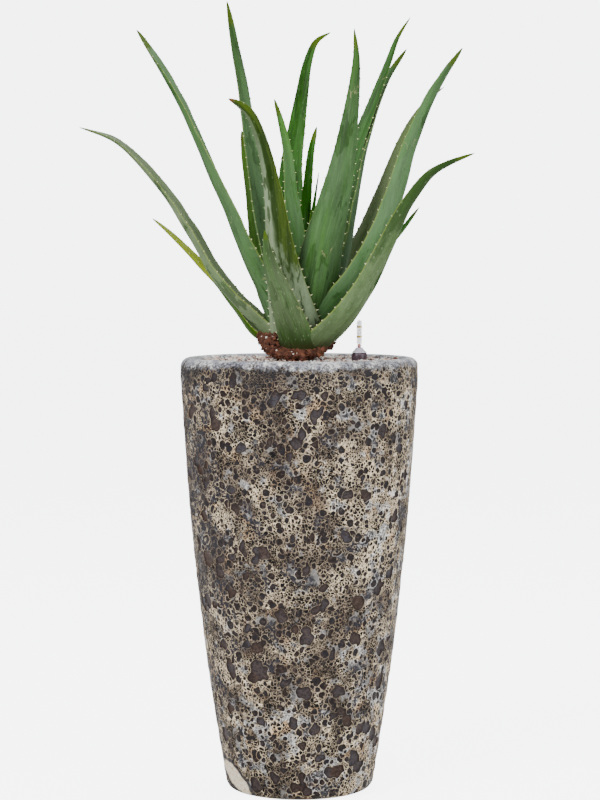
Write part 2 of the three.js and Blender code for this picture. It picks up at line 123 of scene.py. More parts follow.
LIGHT_AIM = Vector((0, 0, 0.6))
for name, light in LIGHTS.items():
    turn = (LIGHT_AIM - Vector(light["place"])).to_track_quat("-Z", "Y").to_euler()
    bpy.ops.object.light_add(type="AREA", location=light["place"], rotation=turn)
    lamp = bpy.context.object
    lamp.name = "light_" + name
    lamp.data.size = light["size"]
    lamp.data.energy = light["watts"]


# The pot is thrown stoneware with a rolled lip, glazed with a lava glaze that boiled in the kiln. Its burst
# bubbles left dark smooth hollows in a raised web of beige and white, and the lip ran smooth and grey.
POT_HEIGHT = 0.620
POT_RADIUS = 0.170
FOOT_RADIUS = 0.107
FOOT_ROUND = 0.014
BELLY = 0.035
LIP_RADIUS = 0.013
LIP_STRAIGHT = 0.017
WALL = 0.015
POT_FLOOR = 0.018
POT_SIDES = 372
POT_ROWS = 226
HOLLOWS = 560
HOLLOW_SIZES = (0.0040, 0.0130)
HOLLOW_DEPTH = 0.0022
WEB_RISE = 0.0005
WARP = 0.0028
THROWN_WAVE = 0.0005


def wall_radius(height):
    """The pot's outer radius between its foot and its lip: a straight taper with a slight belly."""
    share = (np.minimum(height, POT_HEIGHT - LIP_RADIUS - LIP_STRAIGHT) - FOOT_ROUND)
    share = share / (POT_HEIGHT - LIP_RADIUS - LIP_STRAIGHT - FOOT_ROUND)
    return FOOT_RADIUS + (POT_RADIUS - FOOT_RADIUS) * share + BELLY * share * (1 - share)


def end_edit():
    """Turns all faces outwards and leaves edit mode."""
    bpy.ops.mesh.select_all(action="SELECT")
    bpy.ops.mesh.normals_make_consistent(inside=False)
    bpy.ops.object.mode_set(mode="OBJECT")


def turned(name, profile, sides):
    """A closed turned piece: a ring laid out as the profile, opened where it ends on the axis, and spun."""
    bpy.ops.object.select_all(action="DESELECT")
    bpy.ops.mesh.primitive_circle_add(vertices=len(profile), radius=1, fill_type="NOTHING")
    piece = bpy.context.object
    piece.name = name
    for vertex, (radius, height) in zip(piece.data.vertices, profile):
        vertex.co = (radius, 0, height)
    on_axis = profile[0][0] == 0 and profile[-1][0] == 0
    last = len(profile) - 1
    bpy.ops.object.mode_set(mode="EDIT")
    bpy.ops.mesh.select_mode(type="EDGE")
    if on_axis:
        bpy.ops.mesh.select_all(action="DESELECT")
        bpy.ops.object.mode_set(mode="OBJECT")
        for edge in piece.data.edges:
            edge.select = set(edge.vertices) == {0, last}
        bpy.ops.object.mode_set(mode="EDIT")
        bpy.ops.mesh.delete(type="EDGE")
    bpy.ops.mesh.select_all(action="SELECT")
    bpy.ops.mesh.spin(steps=sides, angle=2 * math.pi, center=(0, 0, 0), axis=(0, 0, 1))
    bpy.ops.mesh.select_all(action="SELECT")
    bpy.ops.mesh.remove_doubles(threshold=1e-6)
    end_edit()
    bpy.ops.object.shade_smooth()
    return piece


def arc(centre_radius, centre_height, radius, start, end, steps):
    angles = np.radians(np.linspace(start, end, steps + 1))
    return [(centre_radius + radius * math.cos(a), centre_height + radius * math.sin(a)) for a in angles]


def places_of(piece):
    """The places of a piece's points as an array."""
    places = np.empty(len(piece.data.vertices) * 3, np.float32)
    piece.data.vertices.foreach_get("co", places)
    return places.reshape(-1, 3).astype(float)


def move_to(piece, places):
    piece.data.vertices.foreach_set("co", places.astype(np.float32).ravel())
    piece.data.update()


def mark(piece, name, values, kind="FLOAT"):
    """Stores a value, or a place for kind FLOAT_VECTOR, on every point of a piece for its material to
    read."""
    attribute = piece.data.attributes.new(name, kind, "POINT")
    field = "value" if kind == "FLOAT" else "vector"
    attribute.data.foreach_set(field, np.asarray(values, np.float32).ravel())


def ripples(x, y, z, pitch, seed):
    """A smooth uneven field between about -1 and 1 whose waves are about one pitch long."""
    dice = np.random.default_rng(seed)
    total = 0
    for _ in range(7):
        way = dice.normal(size=3)
        way *= 2 * math.pi / (pitch * dice.uniform(0.7, 1.5)) / np.linalg.norm(way)
        total = total + np.sin(way[0] * x + way[1] * y + way[2] * z + dice.uniform(0, 2 * math.pi))
    return total / 3.2


lip_level = POT_HEIGHT - LIP_RADIUS
inner_rows = np.linspace(lip_level, POT_FLOOR + FOOT_ROUND, 10)
profile = [(0, 0), (0.05, 0)]
profile += arc(FOOT_RADIUS - FOOT_ROUND, FOOT_ROUND, FOOT_ROUND, -90, -18, 7)
profile += [(float(wall_radius(h)), float(h)) for h in np.linspace(FOOT_ROUND, lip_level, POT_ROWS)]
profile += arc(POT_RADIUS - LIP_RADIUS, lip_level, LIP_RADIUS, 8, 180, 15)
profile += [(float(min(POT_RADIUS - 2 * LIP_RADIUS, wall_radius(h) - WALL)),
             float(h)) for h in inner_rows[1:]]
profile += [(float(wall_radius(POT_FLOOR)) - WALL - FOOT_ROUND, POT_FLOOR), (0, POT_FLOOR)]
pot = turned("glazed_pot", profile, POT_SIDES)

place = places_of(pot)
reach = np.hypot(place[:, 0], place[:, 1])
turn = np.arctan2(place[:, 1], place[:, 0])
level = place[:, 2]
outside = (reach > wall_radius(level) - 0.004) & (level > FOOT_ROUND * 0.3) & (level < lip_level + 0.002)
bend_across = WARP * ripples(*place.T, 0.013, 3)
bend_up = WARP * ripples(*place.T, 0.013, 4)
dice = np.random.default_rng(11)
pit = np.full(len(place), -0.02)
tone = np.full(len(place), 0.5)
for k in range(HOLLOWS):
    centre_turn = dice.uniform(-math.pi, math.pi)
    centre_level = dice.uniform(0.008, lip_level - 0.008)
    wide = HOLLOW_SIZES[0] + (HOLLOW_SIZES[1] - HOLLOW_SIZES[0]) * dice.uniform() ** 2.2
    narrow = wide * dice.uniform(0.55, 1)
    tilt = dice.uniform(0, math.pi)
    near = np.flatnonzero(outside & (np.abs(level - centre_level) < 2 * wide + 0.006))
    swing = (turn[near] - centre_turn + math.pi) % (2 * math.pi) - math.pi
    across = swing * float(wall_radius(centre_level)) + bend_across[near]
    up = level[near] - centre_level + bend_up[near]
    first = (across * math.cos(tilt) + up * math.sin(tilt)) / wide
    second = (up * math.cos(tilt) - across * math.sin(tilt)) / narrow
    inside = (1 - np.hypot(first, second)) * narrow
    deeper = inside > pit[near]
    pit[near[deeper]] = inside[deeper]
    tone[near[deeper]] = dice.uniform()
hollow = np.clip((pit + 0.0004) / 0.0034, 0, 1)
hollow = hollow * hollow * (3 - 2 * hollow)
rim = np.clip(1 - np.abs(pit + 0.0012) / 0.0016, 0, 1)
rough_web = ripples(*place.T, 0.011, 5) * 0.5 + ripples(*place.T, 0.024, 6) * 0.5
fade = np.clip((lip_level - 0.004 - level) / 0.010, 0, 1) * np.clip(level / 0.012, 0, 1)
push = THROWN_WAVE * ripples(*place.T, 0.16, 7) - HOLLOW_DEPTH * hollow * fade
push += WEB_RISE * (rim + rough_web) * fade - WEB_RISE
push = np.where(outside, push, 0)
place[:, 0] += push * np.cos(turn)
place[:, 1] += push * np.sin(turn)
move_to(pot, place)
mark(pot, "pit", pit * 1000)
mark(pot, "tone", tone)


def tree_of(*values):
    """The node tree of the first socket among the values."""
    return next(value.id_data for value in values if isinstance(value, bpy.types.NodeSocket))


def maths(operation, *values):
    """The result of one Math node."""
    return put(tree_of(*values), "Math", dict(enumerate(values)), operation=operation).outputs[0]


def times(first, second):
    return maths("MULTIPLY", first, second)


def plus(first, second):
    return maths("ADD", first, second)


def minus(first, second):
    return maths("SUBTRACT", first, second)


def larger(first, second):
    return maths("MAXIMUM", first, second)


def scale_add(value, factor, base):
    return maths("MULTIPLY_ADD", value, factor, base)


def inverse(value):
    return minus(1, value)


def ease(value, low, high, start=0, end=1):
    """start where value is at low, end where it is at high, and a smooth change between them."""
    inputs = {"Value": value, "From Min": low, "From Max": high, "To Min": start, "To Max": end}
    return put(tree_of(value), "MapRange", inputs, interpolation_type="SMOOTHSTEP").outputs[0]


def between(share, first, second):
    """Two numbers mixed, with share of the second."""
    return put(tree_of(share), "Mix", {0: share, 2: first, 3: second}, data_type="FLOAT").outputs[0]


def mixed(share, first, second, mode="MIX"):
    """Two colours mixed, with share of the second."""
    inputs = {0: share, 6: first, 7: second}
    return put(tree_of(*inputs.values()), "Mix", inputs, data_type="RGBA", blend_type=mode).outputs[2]


def vectors(operation, first, second):
    """The place or direction that one Vector Math node gives."""
    return put(tree_of(first), "VectorMath", {0: first, 1: second}, operation=operation).outputs[0]


def own_place(tree):
    """The place on a piece, in metres in the shared frame."""
    return put(tree, "TexCoord").outputs["Object"]


def parts_of(where):
    """A place's x, y and z."""
    return put(tree_of(where), "SeparateXYZ", {0: where}).outputs


def cloud(where, scale, detail=3, rough=0.55):
    """A soft noise between 0 and 1."""
    inputs = {"Vector": where, "Scale": scale, "Detail": detail, "Roughness": rough}
    return put(tree_of(where), "TexNoise", inputs).outputs[0]


def cells(where, scale, feature="F1"):
    """A Voronoi node: scattered round cells, or the distance to their borders."""
    return put(tree_of(where), "TexVoronoi", {"Vector": where, "Scale": scale, "Randomness": 1},
               feature=feature)


def lots(found):
    """Three random numbers for each cell."""
    return put(found.id_data, "SeparateColor", {0: found.outputs["Color"]}).outputs


def shifted(where, scale, amount, seed=0):
    """A place pushed about by noise, so that what is drawn there looks uneven."""
    moved = vectors("ADD", where, (seed, seed, seed))
    push = put(tree_of(where), "TexNoise", {"Vector": moved, "Scale": scale, "Detail": 2}).outputs[1]
    push = vectors("SUBTRACT", push, (0.5, 0.5, 0.5))
    push = put(tree_of(where), "VectorMath", {0: push, "Scale": amount}, operation="SCALE").outputs[0]
    return vectors("ADD", where, push)


def reading(tree, name, output="Fac"):
    """What mark() stored on the piece under that name."""
    return put(tree, "Attribute", attribute_name=name).outputs[output]


def finish(piece, material, colour, relief=None, strength=0, depth=0, roughness=None):
    """Leads what was drawn into a material's shader, and makes it the piece's only material."""
    tree = material.node_tree
    shader = tree.nodes["Principled BSDF"]
    tree.links.new(colour, shader.inputs["Base Color"])
    if roughness is not None:
        tree.links.new(roughness, shader.inputs["Roughness"])
    if relief is not None:
        bump = put(tree, "Bump", {"Height": relief, "Strength": strength, "Distance": depth})
        tree.links.new(bump.outputs[0], shader.inputs["Normal"])
    piece.data.materials.clear()
    piece.data.materials.append(material)


BEIGE = paint(247, 225, 190)
WHITE_GLAZE = paint(255, 252, 246)
RUST_GLAZE = paint(226, 178, 124)
MID_GLAZE = paint(78, 64, 57)
DARK_BROWN = paint(24, 15, 12)
BLUE_GREY = paint(30, 29, 34)
BLOB_BROWN = paint(66, 49, 40)
BLOB_GREY = paint(62, 60, 66)
SLATE = paint(44, 43, 50)
PIT_BLACK = paint(5, 3, 3)
LIP_GREY = paint(212, 211, 210)
LIP_BLUE = paint(146, 148, 156)
LIP_SLATE = paint(50, 47, 52)
BARE_CLAY = paint(234, 224, 204)
SCAR_PLACE = (-0.092, -0.062, 0.0245)
SCAR_TILT = math.radians(45)
SCAR_REACH = (1 / 0.034, 1 / 0.060, 1 / 0.0110)


def burst(where, scale, smallest, biggest, kept):
    """Burst bubbles of one size class: their mask, the mask of the rims round them, and a random number for
    each."""
    found = cells(where, scale)
    drawn = lots(found)
    radius = scale_add(maths("POWER", drawn[0], 1.6), biggest - smallest, smallest)
    radius = minus(radius, maths("GREATER_THAN", drawn[1], kept))
    edge = minus(radius, found.outputs["Distance"])
    mask = ease(edge, -0.01, 0.035)
    rim = times(ease(edge, -0.13, -0.02), inverse(mask))
    return mask, rim, drawn[2]


glaze, tree, shader = new_material("lava_glaze", Specular_IOR_Level=0.18)
where = own_place(tree)
uneven = shifted(shifted(where, 70, 0.007), 260, 0.0022, 5)
patch = cloud(where, 30, 4)
side, _, height = parts_of(where)[:3]
foam_pick = ease(cloud(where, 42, 3), 0.46, 0.58)
coarse_foam = cells(uneven, 190, "DISTANCE_TO_EDGE").outputs["Distance"]
fine_foam = cells(uneven, 320, "DISTANCE_TO_EDGE").outputs["Distance"]
foam = between(foam_pick, coarse_foam, fine_foam)
web_width = ease(patch, 0.38, 0.70, 0.03, 0.13)
# The web widens on the right side of the pot: painted light from the right.
web_width = plus(web_width, ease(side, 0.03, 0.13, 0, 0.025))
foam_edge = minus(foam, web_width)
foam_mask = ease(foam_edge, -0.02, 0.03)
small_mask, small_rim, small_tone = burst(uneven, 150, 0.20, 0.58, 0.7)
large_mask, large_rim, large_tone = burst(shifted(uneven, 40, 0.004, 9), 84, 0.16, 0.60, 0.9)
blob_edge = scale_add(cloud(where, 260, 2), 1.8, reading(tree, "pit"))
blob_mask = ease(blob_edge, 0.75, 1.15)
blob_rim = times(ease(blob_edge, -0.1, 0.6), inverse(blob_mask))

# Painted light: the right side of the pot gets more white patches and less dimmed web, as if lit from the
# right. The glaze is also whiter towards the bottom.
painted_right_light_and_low_white = ease(side, 0.02, 0.15, 0, 0.06)
painted_right_light_and_low_white = plus(painted_right_light_and_low_white, ease(height, 0.30, 0.08, 0, 0.03))
white_patch = plus(cloud(shifted(where, 60, 0.012, 3), 52, 4), painted_right_light_and_low_white)
white_patch = ease(white_patch, 0.57, 0.64)
web = mixed(ease(cloud(where, 34, 4), 0.54, 0.66, 0, 0.55), BEIGE, RUST_GLAZE)
web = mixed(white_patch, web, WHITE_GLAZE)
dim_web = plus(cloud(where, 14, 6, 0.6), painted_right_light_and_low_white)
dim_web = ease(dim_web, 0.56, 0.44)
web = mixed(times(dim_web, 0.72), web, MID_GLAZE)
web = mixed(times(ease(cloud(where, 480, 4), 0.46, 0.64), 0.5), web, MID_GLAZE)
foam_colour = mixed(ease(cloud(where, 150, 3), 0.50, 0.76), PIT_BLACK, MID_GLAZE)
foam_colour = mixed(times(white_patch, 0.18), foam_colour, WHITE_GLAZE)
colour = mixed(foam_mask, web, foam_colour)
# Slate patches, gathered on the left side of the pot: the glaze's own slate, and painted shade on the left.
slate_and_painted_left_shade = scale_add(ease(side, -0.085, -0.135), 0.12, cloud(where, 26, 4))
slate_and_painted_left_shade = times(ease(slate_and_painted_left_shade, 0.545, 0.60), ease(cloud(uneven, 210, 3), 0.62, 0.46, 0.4, 0.95))
colour = mixed(slate_and_painted_left_shade, colour, SLATE)
grain = ease(cloud(where, 300, 5, 0.65), 0.40, 0.64)
blob_deep = ease(blob_edge, 1.0, 4.6)
shine = ease(cloud(where, 230, 5, 0.7), 0.50, 0.66)
for mask, rim, tone_value, brown, grey in (
        (small_mask, small_rim, small_tone, DARK_BROWN, BLUE_GREY),
        (large_mask, large_rim, large_tone, DARK_BROWN, BLUE_GREY),
        (blob_mask, blob_rim, reading(tree, "tone"), BLOB_BROWN, BLOB_GREY)):
    colour = mixed(times(rim, 0.55), colour, web)
    skin = mixed(tone_value, brown, grey)
    skin = mixed(times(grain, 0.75), skin, DARK_BROWN)
    skin = mixed(times(shine, 0.8), skin, MID_GLAZE)
    colour = mixed(mask, colour, skin)
# Painted shade: the outer part of each big hollow, under its rim, is darkened towards dark brown.
painted_hollow_shade = times(inverse(blob_deep), times(blob_mask, 0.85))
colour = mixed(painted_hollow_shade, colour, DARK_BROWN)
medium_mask = larger(small_mask, large_mask)
lip_line = scale_add(cloud(where, 38, 5), 0.026, minus(height, 0.022))
lip_line = scale_add(cloud(where, 240, 3), 0.018, lip_line)
lip_mask = ease(lip_line, lip_level - 0.001, lip_level + 0.005)
lip_low = ease(lip_line, lip_level + 0.016, lip_level - 0.002, 0, 0.20)
lip_wear = plus(cloud(shifted(where, 220, 0.003, 4), 330, 5), lip_low)
lip_wear = ease(lip_wear, 0.53, 0.64)
lip_colour = mixed(ease(cloud(where, 46, 4), 0.42, 0.62), LIP_GREY, LIP_BLUE)
lip_colour = mixed(times(lip_wear, 0.8), lip_colour, LIP_SLATE)
lip_colour = mixed(ease(cloud(where, 75, 4), 0.60, 0.72), lip_colour, WHITE_GLAZE)
under_lip = times(ease(lip_line, lip_level - 0.030, lip_level - 0.010), 0.5)
colour = mixed(under_lip, colour, BLUE_GREY)
colour = mixed(lip_mask, colour, lip_colour)
from_scar = vectors("SUBTRACT", where, SCAR_PLACE)
from_scar = put(tree, "VectorRotate", {"Vector": from_scar, "Angle": -SCAR_TILT},
                rotation_type="Y_AXIS").outputs[0]
from_scar = vectors("MULTIPLY", from_scar, SCAR_REACH)
from_scar = put(tree, "VectorMath", {0: from_scar}, operation="LENGTH").outputs["Value"]
scar_line = scale_add(cloud(where, 60, 4), 0.8, from_scar)
scar_mask = ease(scar_line, 1.45, 1.25)
foot_mask = ease(height, 0.0025, 0.001)
bare = larger(scar_mask, foot_mask)
bare_colour = mixed(ease(cloud(where, 300, 4), 0.4, 0.7), BARE_CLAY, paint(206, 182, 142))
colour = mixed(ease(scar_line, 1.85, 1.55, 0, 0.8), colour, SLATE)
colour = mixed(bare, colour, bare_colour)
pits = larger(medium_mask, times(foam_mask, 0.8))
smooth = larger(larger(lip_mask, bare), blob_mask)
pits = times(pits, inverse(smooth))
relief = scale_add(cloud(where, 700, 3), 0.25, inverse(pits))
dark = larger(larger(medium_mask, blob_mask), lip_mask)
finish(pot, glaze, colour, relief, 0.9, 0.0012, roughness=ease(dark, 0, 1, 0.66, 0.42))
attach(pot, "planter")
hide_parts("pot")


# The growing medium fills the pot under the gravel: a dark mix of bark, coir and clay crumbs, hardly ever
# seen. Its shape is the solid model's own, and it only gets its crumbly finish here.


def new_group(name, takes, gives):
    """A shader node group with named inputs and outputs, and the sockets inside it."""
    group = bpy.data.node_groups.new(name, "ShaderNodeTree")
    for in_out, sockets in (("INPUT", takes), ("OUTPUT", gives)):
        for socket, kind in sockets.items():
            group.interface.new_socket(socket, in_out=in_out, socket_type="NodeSocket" + kind)
    return group, group.nodes.new("NodeGroupInput").outputs, group.nodes.new("NodeGroupOutput").inputs


def crumb_group():
    """Mineral or earthy crumbs: a varied colour and a crumbly height, from two colours and a crumb size."""
    group, given, result = new_group("crumbs", {"Dark": "Color", "Light": "Color", "Per Metre": "Float"},
                                     {"Color": "Color", "Height": "Float"})
    where = own_place(group)
    found = cells(shifted(where, 200, 0.003), given["Per Metre"])
    fine = cloud(where, 900, 4)
    share = scale_add(fine, 0.5, times(lots(found)[0], 0.6))
    group.links.new(mixed(share, given["Dark"], given["Light"]), result["Color"])
    group.links.new(scale_add(fine, 0.4, inverse(found.outputs["Distance"])), result["Height"])
    return group


def crumbly(tree, dark, light, per_metre):
    """The crumb group placed in a material, with its own two colours and crumb size."""
    return put(tree, "Group", {"Dark": dark, "Light": light, "Per Metre": per_metre}, node_tree=crumbs)


crumbs = crumb_group()
medium_finish, tree, shader = new_material("growing_mix", Roughness=0.95)
mix = crumbly(tree, paint(52, 34, 24), paint(112, 80, 56), 260)
finish(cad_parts["growing_medium"], medium_finish, mix.outputs["Color"], mix.outputs["Height"], 0.8,
       0.002)


# The dressing is crushed stone of 3 to 7 mm, pinkish, pale grey-blue and some red-brown, poured level with
# the lip. It lies loose on the growing medium, in a ring round the soil ball and the gauge's collar.
GRAVEL_LEVEL = 0.616
GRAVEL_BOTTOM = 0.6003
GRAVEL_REACH = 0.1425
STONE_PITCH = 0.0046
ROW_SHARE = 0.866
STONE_SIZES = (0.0019, 0.0036)
STONE_SHAPES = 9
STONE_CUTS = 8
CROWN = Vector((-0.004, 0, 0.635))
BALL_WIDE = 0.056
BALL_SQUASH = 0.78
BALL_WIDEST_LEVEL = 0.649
BALL_TOP = 0.658
BALL_BOTTOM = 0.562
BALL_NECK = 0.025
STONES_FROM = BALL_NECK + 0.008
BED_FROM = BALL_NECK * 0.79
BED_DROP = 0.004
BED_WAVE = 0.0012
BED_PITCH = 0.008
BED_SIDES = 120
BED_TONE = 0.45
GAUGE_PLACE = Vector((0.085, -0.030, 0))
COLLAR_RADIUS = 0.0111


def broken_stone(seed):
    """A crushed stone: a cube that is cut off by planes at all angles. Returns its points and faces."""
    dice = np.random.default_rng(seed)
    bpy.ops.object.select_all(action="DESELECT")
    bpy.ops.mesh.primitive_cube_add(size=2)
    stone = bpy.context.object
    bpy.ops.object.mode_set(mode="EDIT")
    for _ in range(STONE_CUTS):
        way = Vector(dice.normal(size=3)).normalized()
        bpy.ops.mesh.select_all(action="SELECT")
        cut = way * dice.uniform(0.62, 0.95)
        bpy.ops.mesh.bisect(plane_co=cut, plane_no=way, use_fill=True, clear_outer=True)
    bpy.ops.mesh.select_all(action="SELECT")
    bpy.ops.mesh.remove_doubles(threshold=0.12)
    bpy.ops.mesh.quads_convert_to_tris()
    end_edit()
    shape = places_of(stone), np.array([tuple(face.vertices) for face in stone.data.polygons])
    bpy.data.objects.remove(stone)
    return shape


def built(name, points, faces):
    """An object made of several lists of points and faces."""
    mesh = bpy.data.meshes.new(name)
    mesh.from_pydata(np.concatenate(points).tolist(), [], np.concatenate(faces).tolist())
    piece = bpy.data.objects.new(name, mesh)
    bpy.context.scene.collection.objects.link(piece)
    return piece


def scattered(name, shapes, spots):
    """One mesh of many copies. Each spot is (which shape, matrix, tone), and the tone is stored on its
    points."""
    points, faces, tones = [], [], []
    start = 0
    for which, matrix, tone in spots:
        corners, triangles = shapes[which]
        points.append(corners @ np.array(matrix.to_3x3()).T + np.array(matrix.translation))
        faces.append(triangles + start)
        tones.append(np.full(len(corners), tone))
        start += len(corners)
    piece = built(name, points, faces)
    mark(piece, "tone", np.concatenate(tones))
    return piece


def tumbled(dice, place, sizes):
    """A matrix that turns a shape any way, sizes it unevenly and puts it at place."""
    turn = Matrix.Rotation(dice.uniform(0, 2 * math.pi), 4, Vector(dice.normal(size=3)).normalized())
    size = Matrix.Diagonal((*sizes, 1))
    return Matrix.Translation(place) @ turn @ size


def select(*pieces):
    """Selects the pieces and nothing else, with the first one active."""
    bpy.ops.object.select_all(action="DESELECT")
    for piece in pieces:
        piece.select_set(True)
    bpy.context.view_layer.objects.active = pieces[0]


def joined(name, *pieces):
    """Several objects joined into one."""
    select(*pieces)
    bpy.ops.object.join()
    pieces[0].name = name
    return pieces[0]


stones = [broken_stone(100 + k) for k in range(STONE_SHAPES)]
dice = np.random.default_rng(21)
spots = []
rows = int(GRAVEL_REACH / STONE_PITCH / ROW_SHARE) + 1
for row in range(-rows, rows + 1):
    for column in range(-rows, rows + 1):
        x = (column + 0.5 * (row % 2) + dice.uniform(-0.3, 0.3)) * STONE_PITCH
        y = (row + dice.uniform(-0.3, 0.3)) * STONE_PITCH * ROW_SHARE
        size = dice.uniform(*STONE_SIZES)
        sizes = size * dice.uniform(0.7, 1.15, 3)
        rise = dice.uniform(-0.0022, 0.0004)
        tone_value = dice.uniform()
        turn_stone = tumbled(dice, (x, y, GRAVEL_LEVEL + rise - size * 0.5), sizes)
        in_ball = math.hypot((x - CROWN.x) / STONES_FROM, y / STONES_FROM / BALL_SQUASH) < 1
        in_collar = math.hypot(x - GAUGE_PLACE.x, y - GAUGE_PLACE.y) < COLLAR_RADIUS + size * 0.9
        if math.hypot(x, y) + size < GRAVEL_REACH and not in_ball and not in_collar:
            spots.append((int(dice.integers(STONE_SHAPES)), turn_stone, tone_value))
loose_stones = scattered("gravel_stones", stones, spots)

bed_profile = [(BED_FROM, GRAVEL_BOTTOM), (GRAVEL_REACH, GRAVEL_BOTTOM)]
bed_profile += [(float(r), GRAVEL_LEVEL - BED_DROP) for r in np.linspace(GRAVEL_REACH, BED_FROM, 40)]
bed = turned("gravel_bed", bed_profile, BED_SIDES)
place = places_of(bed)
top = place[:, 2] > GRAVEL_BOTTOM + 0.001
place[:, 2] += np.where(top, BED_WAVE * ripples(*place.T, BED_PITCH, 22), 0)
move_to(bed, place)
mark(bed, "tone", np.full(len(place), BED_TONE))
gravel = joined("gravel_dressing", loose_stones, bed)

STONE_PINK = paint(236, 212, 196)
STONE_PALE = paint(236, 248, 250)
STONE_RED = paint(108, 70, 60)
STONE_GREY = paint(138, 128, 126)
gravel_finish, tree, shader = new_material("crushed_stone", Roughness=0.8)
stone_tone = reading(tree, "tone")
grit = crumbly(tree, paint(190, 185, 180), paint(255, 255, 255), 500)
colour = mixed(ease(stone_tone, 0.40, 0.44), STONE_PINK, STONE_GREY)
colour = mixed(ease(stone_tone, 0.58, 0.60), colour, STONE_PALE)
colour = mixed(ease(stone_tone, 0.78, 0.80), colour, STONE_RED)
colour = mixed(0.6, colour, grit.outputs["Color"], "MULTIPLY")
finish(gravel, gravel_finish, colour, grit.outputs["Height"], 0.5, 0.0006)
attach(gravel, "planter")
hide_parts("gravel")


# The soil ball is the plant's own: red-brown coir and bark held by the roots, with white perlite grains.
# It stands proud of the gravel as it came out of its nursery pot, and the leaves rise from its top.
BALL_SMOOTHNESS = 6
BANK_PLACE = (-0.006, -0.043, 0.6240)
BANK_SIZE = (0.043, 0.018, 0.0080)
BANK_CURL = (0, 0.010, 0.010)
BANK_SMOOTHNESS = 5
CLOD = 0.0022
CRUMB = 0.0010
CLODS_PER_METRE = 110
BANK_CLODS_PER_METRE = 130
LUMPS_PER_METRE = 330
GRAINS_PER_METRE = 620
SMOOTH_BELOW = 0.606
SMOOTH_EASE = 0.006
CRUMB_SHAPES = 4
LOOSE_CRUMBS = 1900
PERLITE_GRAINS = 60
FIBRES = 170
CRUMB_TONE = 0.6
FIBRE_TONE = 0.8
FIBRE_THIN = 0.00035
PERLITE_TONE = 1.0
SOIL_TONE = 0.3
bpy.ops.object.select_all(action="DESELECT")
bpy.ops.mesh.primitive_ico_sphere_add(subdivisions=BALL_SMOOTHNESS, radius=1)
ball = bpy.context.object
ball.name = "ball_of_soil"
bowl = [(BALL_WIDE * math.cos(a), BALL_WIDEST_LEVEL + (BALL_WIDEST_LEVEL - GRAVEL_LEVEL) * math.sin(a))
        for a in np.radians(np.linspace(-64, 0, 9))]
shape_radius = [0, BALL_NECK - 0.008, BALL_NECK, *[r for r, h in bowl], BALL_WIDE - 0.005, BALL_WIDE - 0.024,
                0]
shape_level = [BALL_BOTTOM, BALL_BOTTOM, BALL_BOTTOM + 0.012, *[h for r, h in bowl],
               BALL_WIDEST_LEVEL + 0.005, BALL_TOP - 0.003, BALL_TOP]
shares = [0, 0.04, 0.08, *np.linspace(0.16, 0.52, len(bowl)), 0.60, 0.78, 1]
place = places_of(ball)
share = np.arcsin(np.clip(place[:, 2], -1, 1)) / math.pi + 0.5
flat = np.maximum(np.hypot(place[:, 0], place[:, 1]), 1e-9)
way = place / np.linalg.norm(place, axis=1, keepdims=True)
radius = np.interp(share, shares, shape_radius)
formed = np.stack([radius * place[:, 0] / flat, radius * place[:, 1] / flat * BALL_SQUASH,
                   np.interp(share, shares, shape_level)], 1)
clods = np.array([noise.noise(Vector(p) * CLODS_PER_METRE) for p in formed])
lumps = np.array([noise.noise(Vector(p) * LUMPS_PER_METRE + Vector((7, 7, 7))) for p in formed])
grains = np.array([noise.cell(Vector(p) * GRAINS_PER_METRE) for p in formed])
bulge = CLOD * (clods - 0.35) + CRUMB * (lumps + 0.5 * grains - 0.5)
formed += way * (bulge * np.clip((formed[:, 2] - SMOOTH_BELOW) / SMOOTH_EASE, 0, 1))[:, None]
formed[:, 0] += CROWN.x
move_to(ball, formed)
mark(ball, "tone", np.full(len(formed), SOIL_TONE))

bpy.ops.object.select_all(action="DESELECT")
bpy.ops.mesh.primitive_ico_sphere_add(subdivisions=BANK_SMOOTHNESS, radius=1)
bank = bpy.context.object
bank.name = "bank_of_soil"
way = places_of(bank)
banked = way * BANK_SIZE + np.array(BANK_PLACE) + way[:, :1] ** 2 * BANK_CURL
clods = np.array([noise.noise(Vector(p) * BANK_CLODS_PER_METRE) for p in banked])
lumps = np.array([noise.noise(Vector(p) * LUMPS_PER_METRE) for p in banked])
banked += way * (1.6 * CLOD * clods + 1.4 * CRUMB * lumps)[:, None]
move_to(bank, banked)
mark(bank, "tone", np.full(len(banked), SOIL_TONE))
bpy.ops.object.shade_smooth()

dice = np.random.default_rng(31)
formed = np.concatenate([formed, np.repeat(banked, 3, axis=0)])
visible = formed[formed[:, 2] > GRAVEL_LEVEL - 0.002]
crumb_shapes = [broken_stone(200 + k) for k in range(CRUMB_SHAPES)]
bits = []
for k in range(LOOSE_CRUMBS):
    spot = visible[int(dice.integers(len(visible)))]
    size = 0.0008 + 0.0030 * dice.uniform() ** 2
    bits.append((int(dice.integers(CRUMB_SHAPES)), tumbled(dice, spot, size * dice.uniform(0.6, 1.3, 3)),
                 dice.uniform(0, CRUMB_TONE)))
for k in range(PERLITE_GRAINS):
    spot = visible[int(dice.integers(len(visible)))]
    size = dice.uniform(0.0006, 0.0014)
    bits.append((int(dice.integers(CRUMB_SHAPES)), tumbled(dice, spot, size * dice.uniform(0.8, 1.2, 3)),
                 PERLITE_TONE))
for k in range(FIBRES):
    spot = visible[int(dice.integers(len(visible)))]
    sizes = (dice.uniform(0.003, 0.006), FIBRE_THIN, FIBRE_THIN)
    bits.append((int(dice.integers(CRUMB_SHAPES)), tumbled(dice, spot, sizes), FIBRE_TONE))
crumb_bits = scattered("soil_crumbs", crumb_shapes, bits)
soil = joined("soil_ball", ball, bank, crumb_bits)

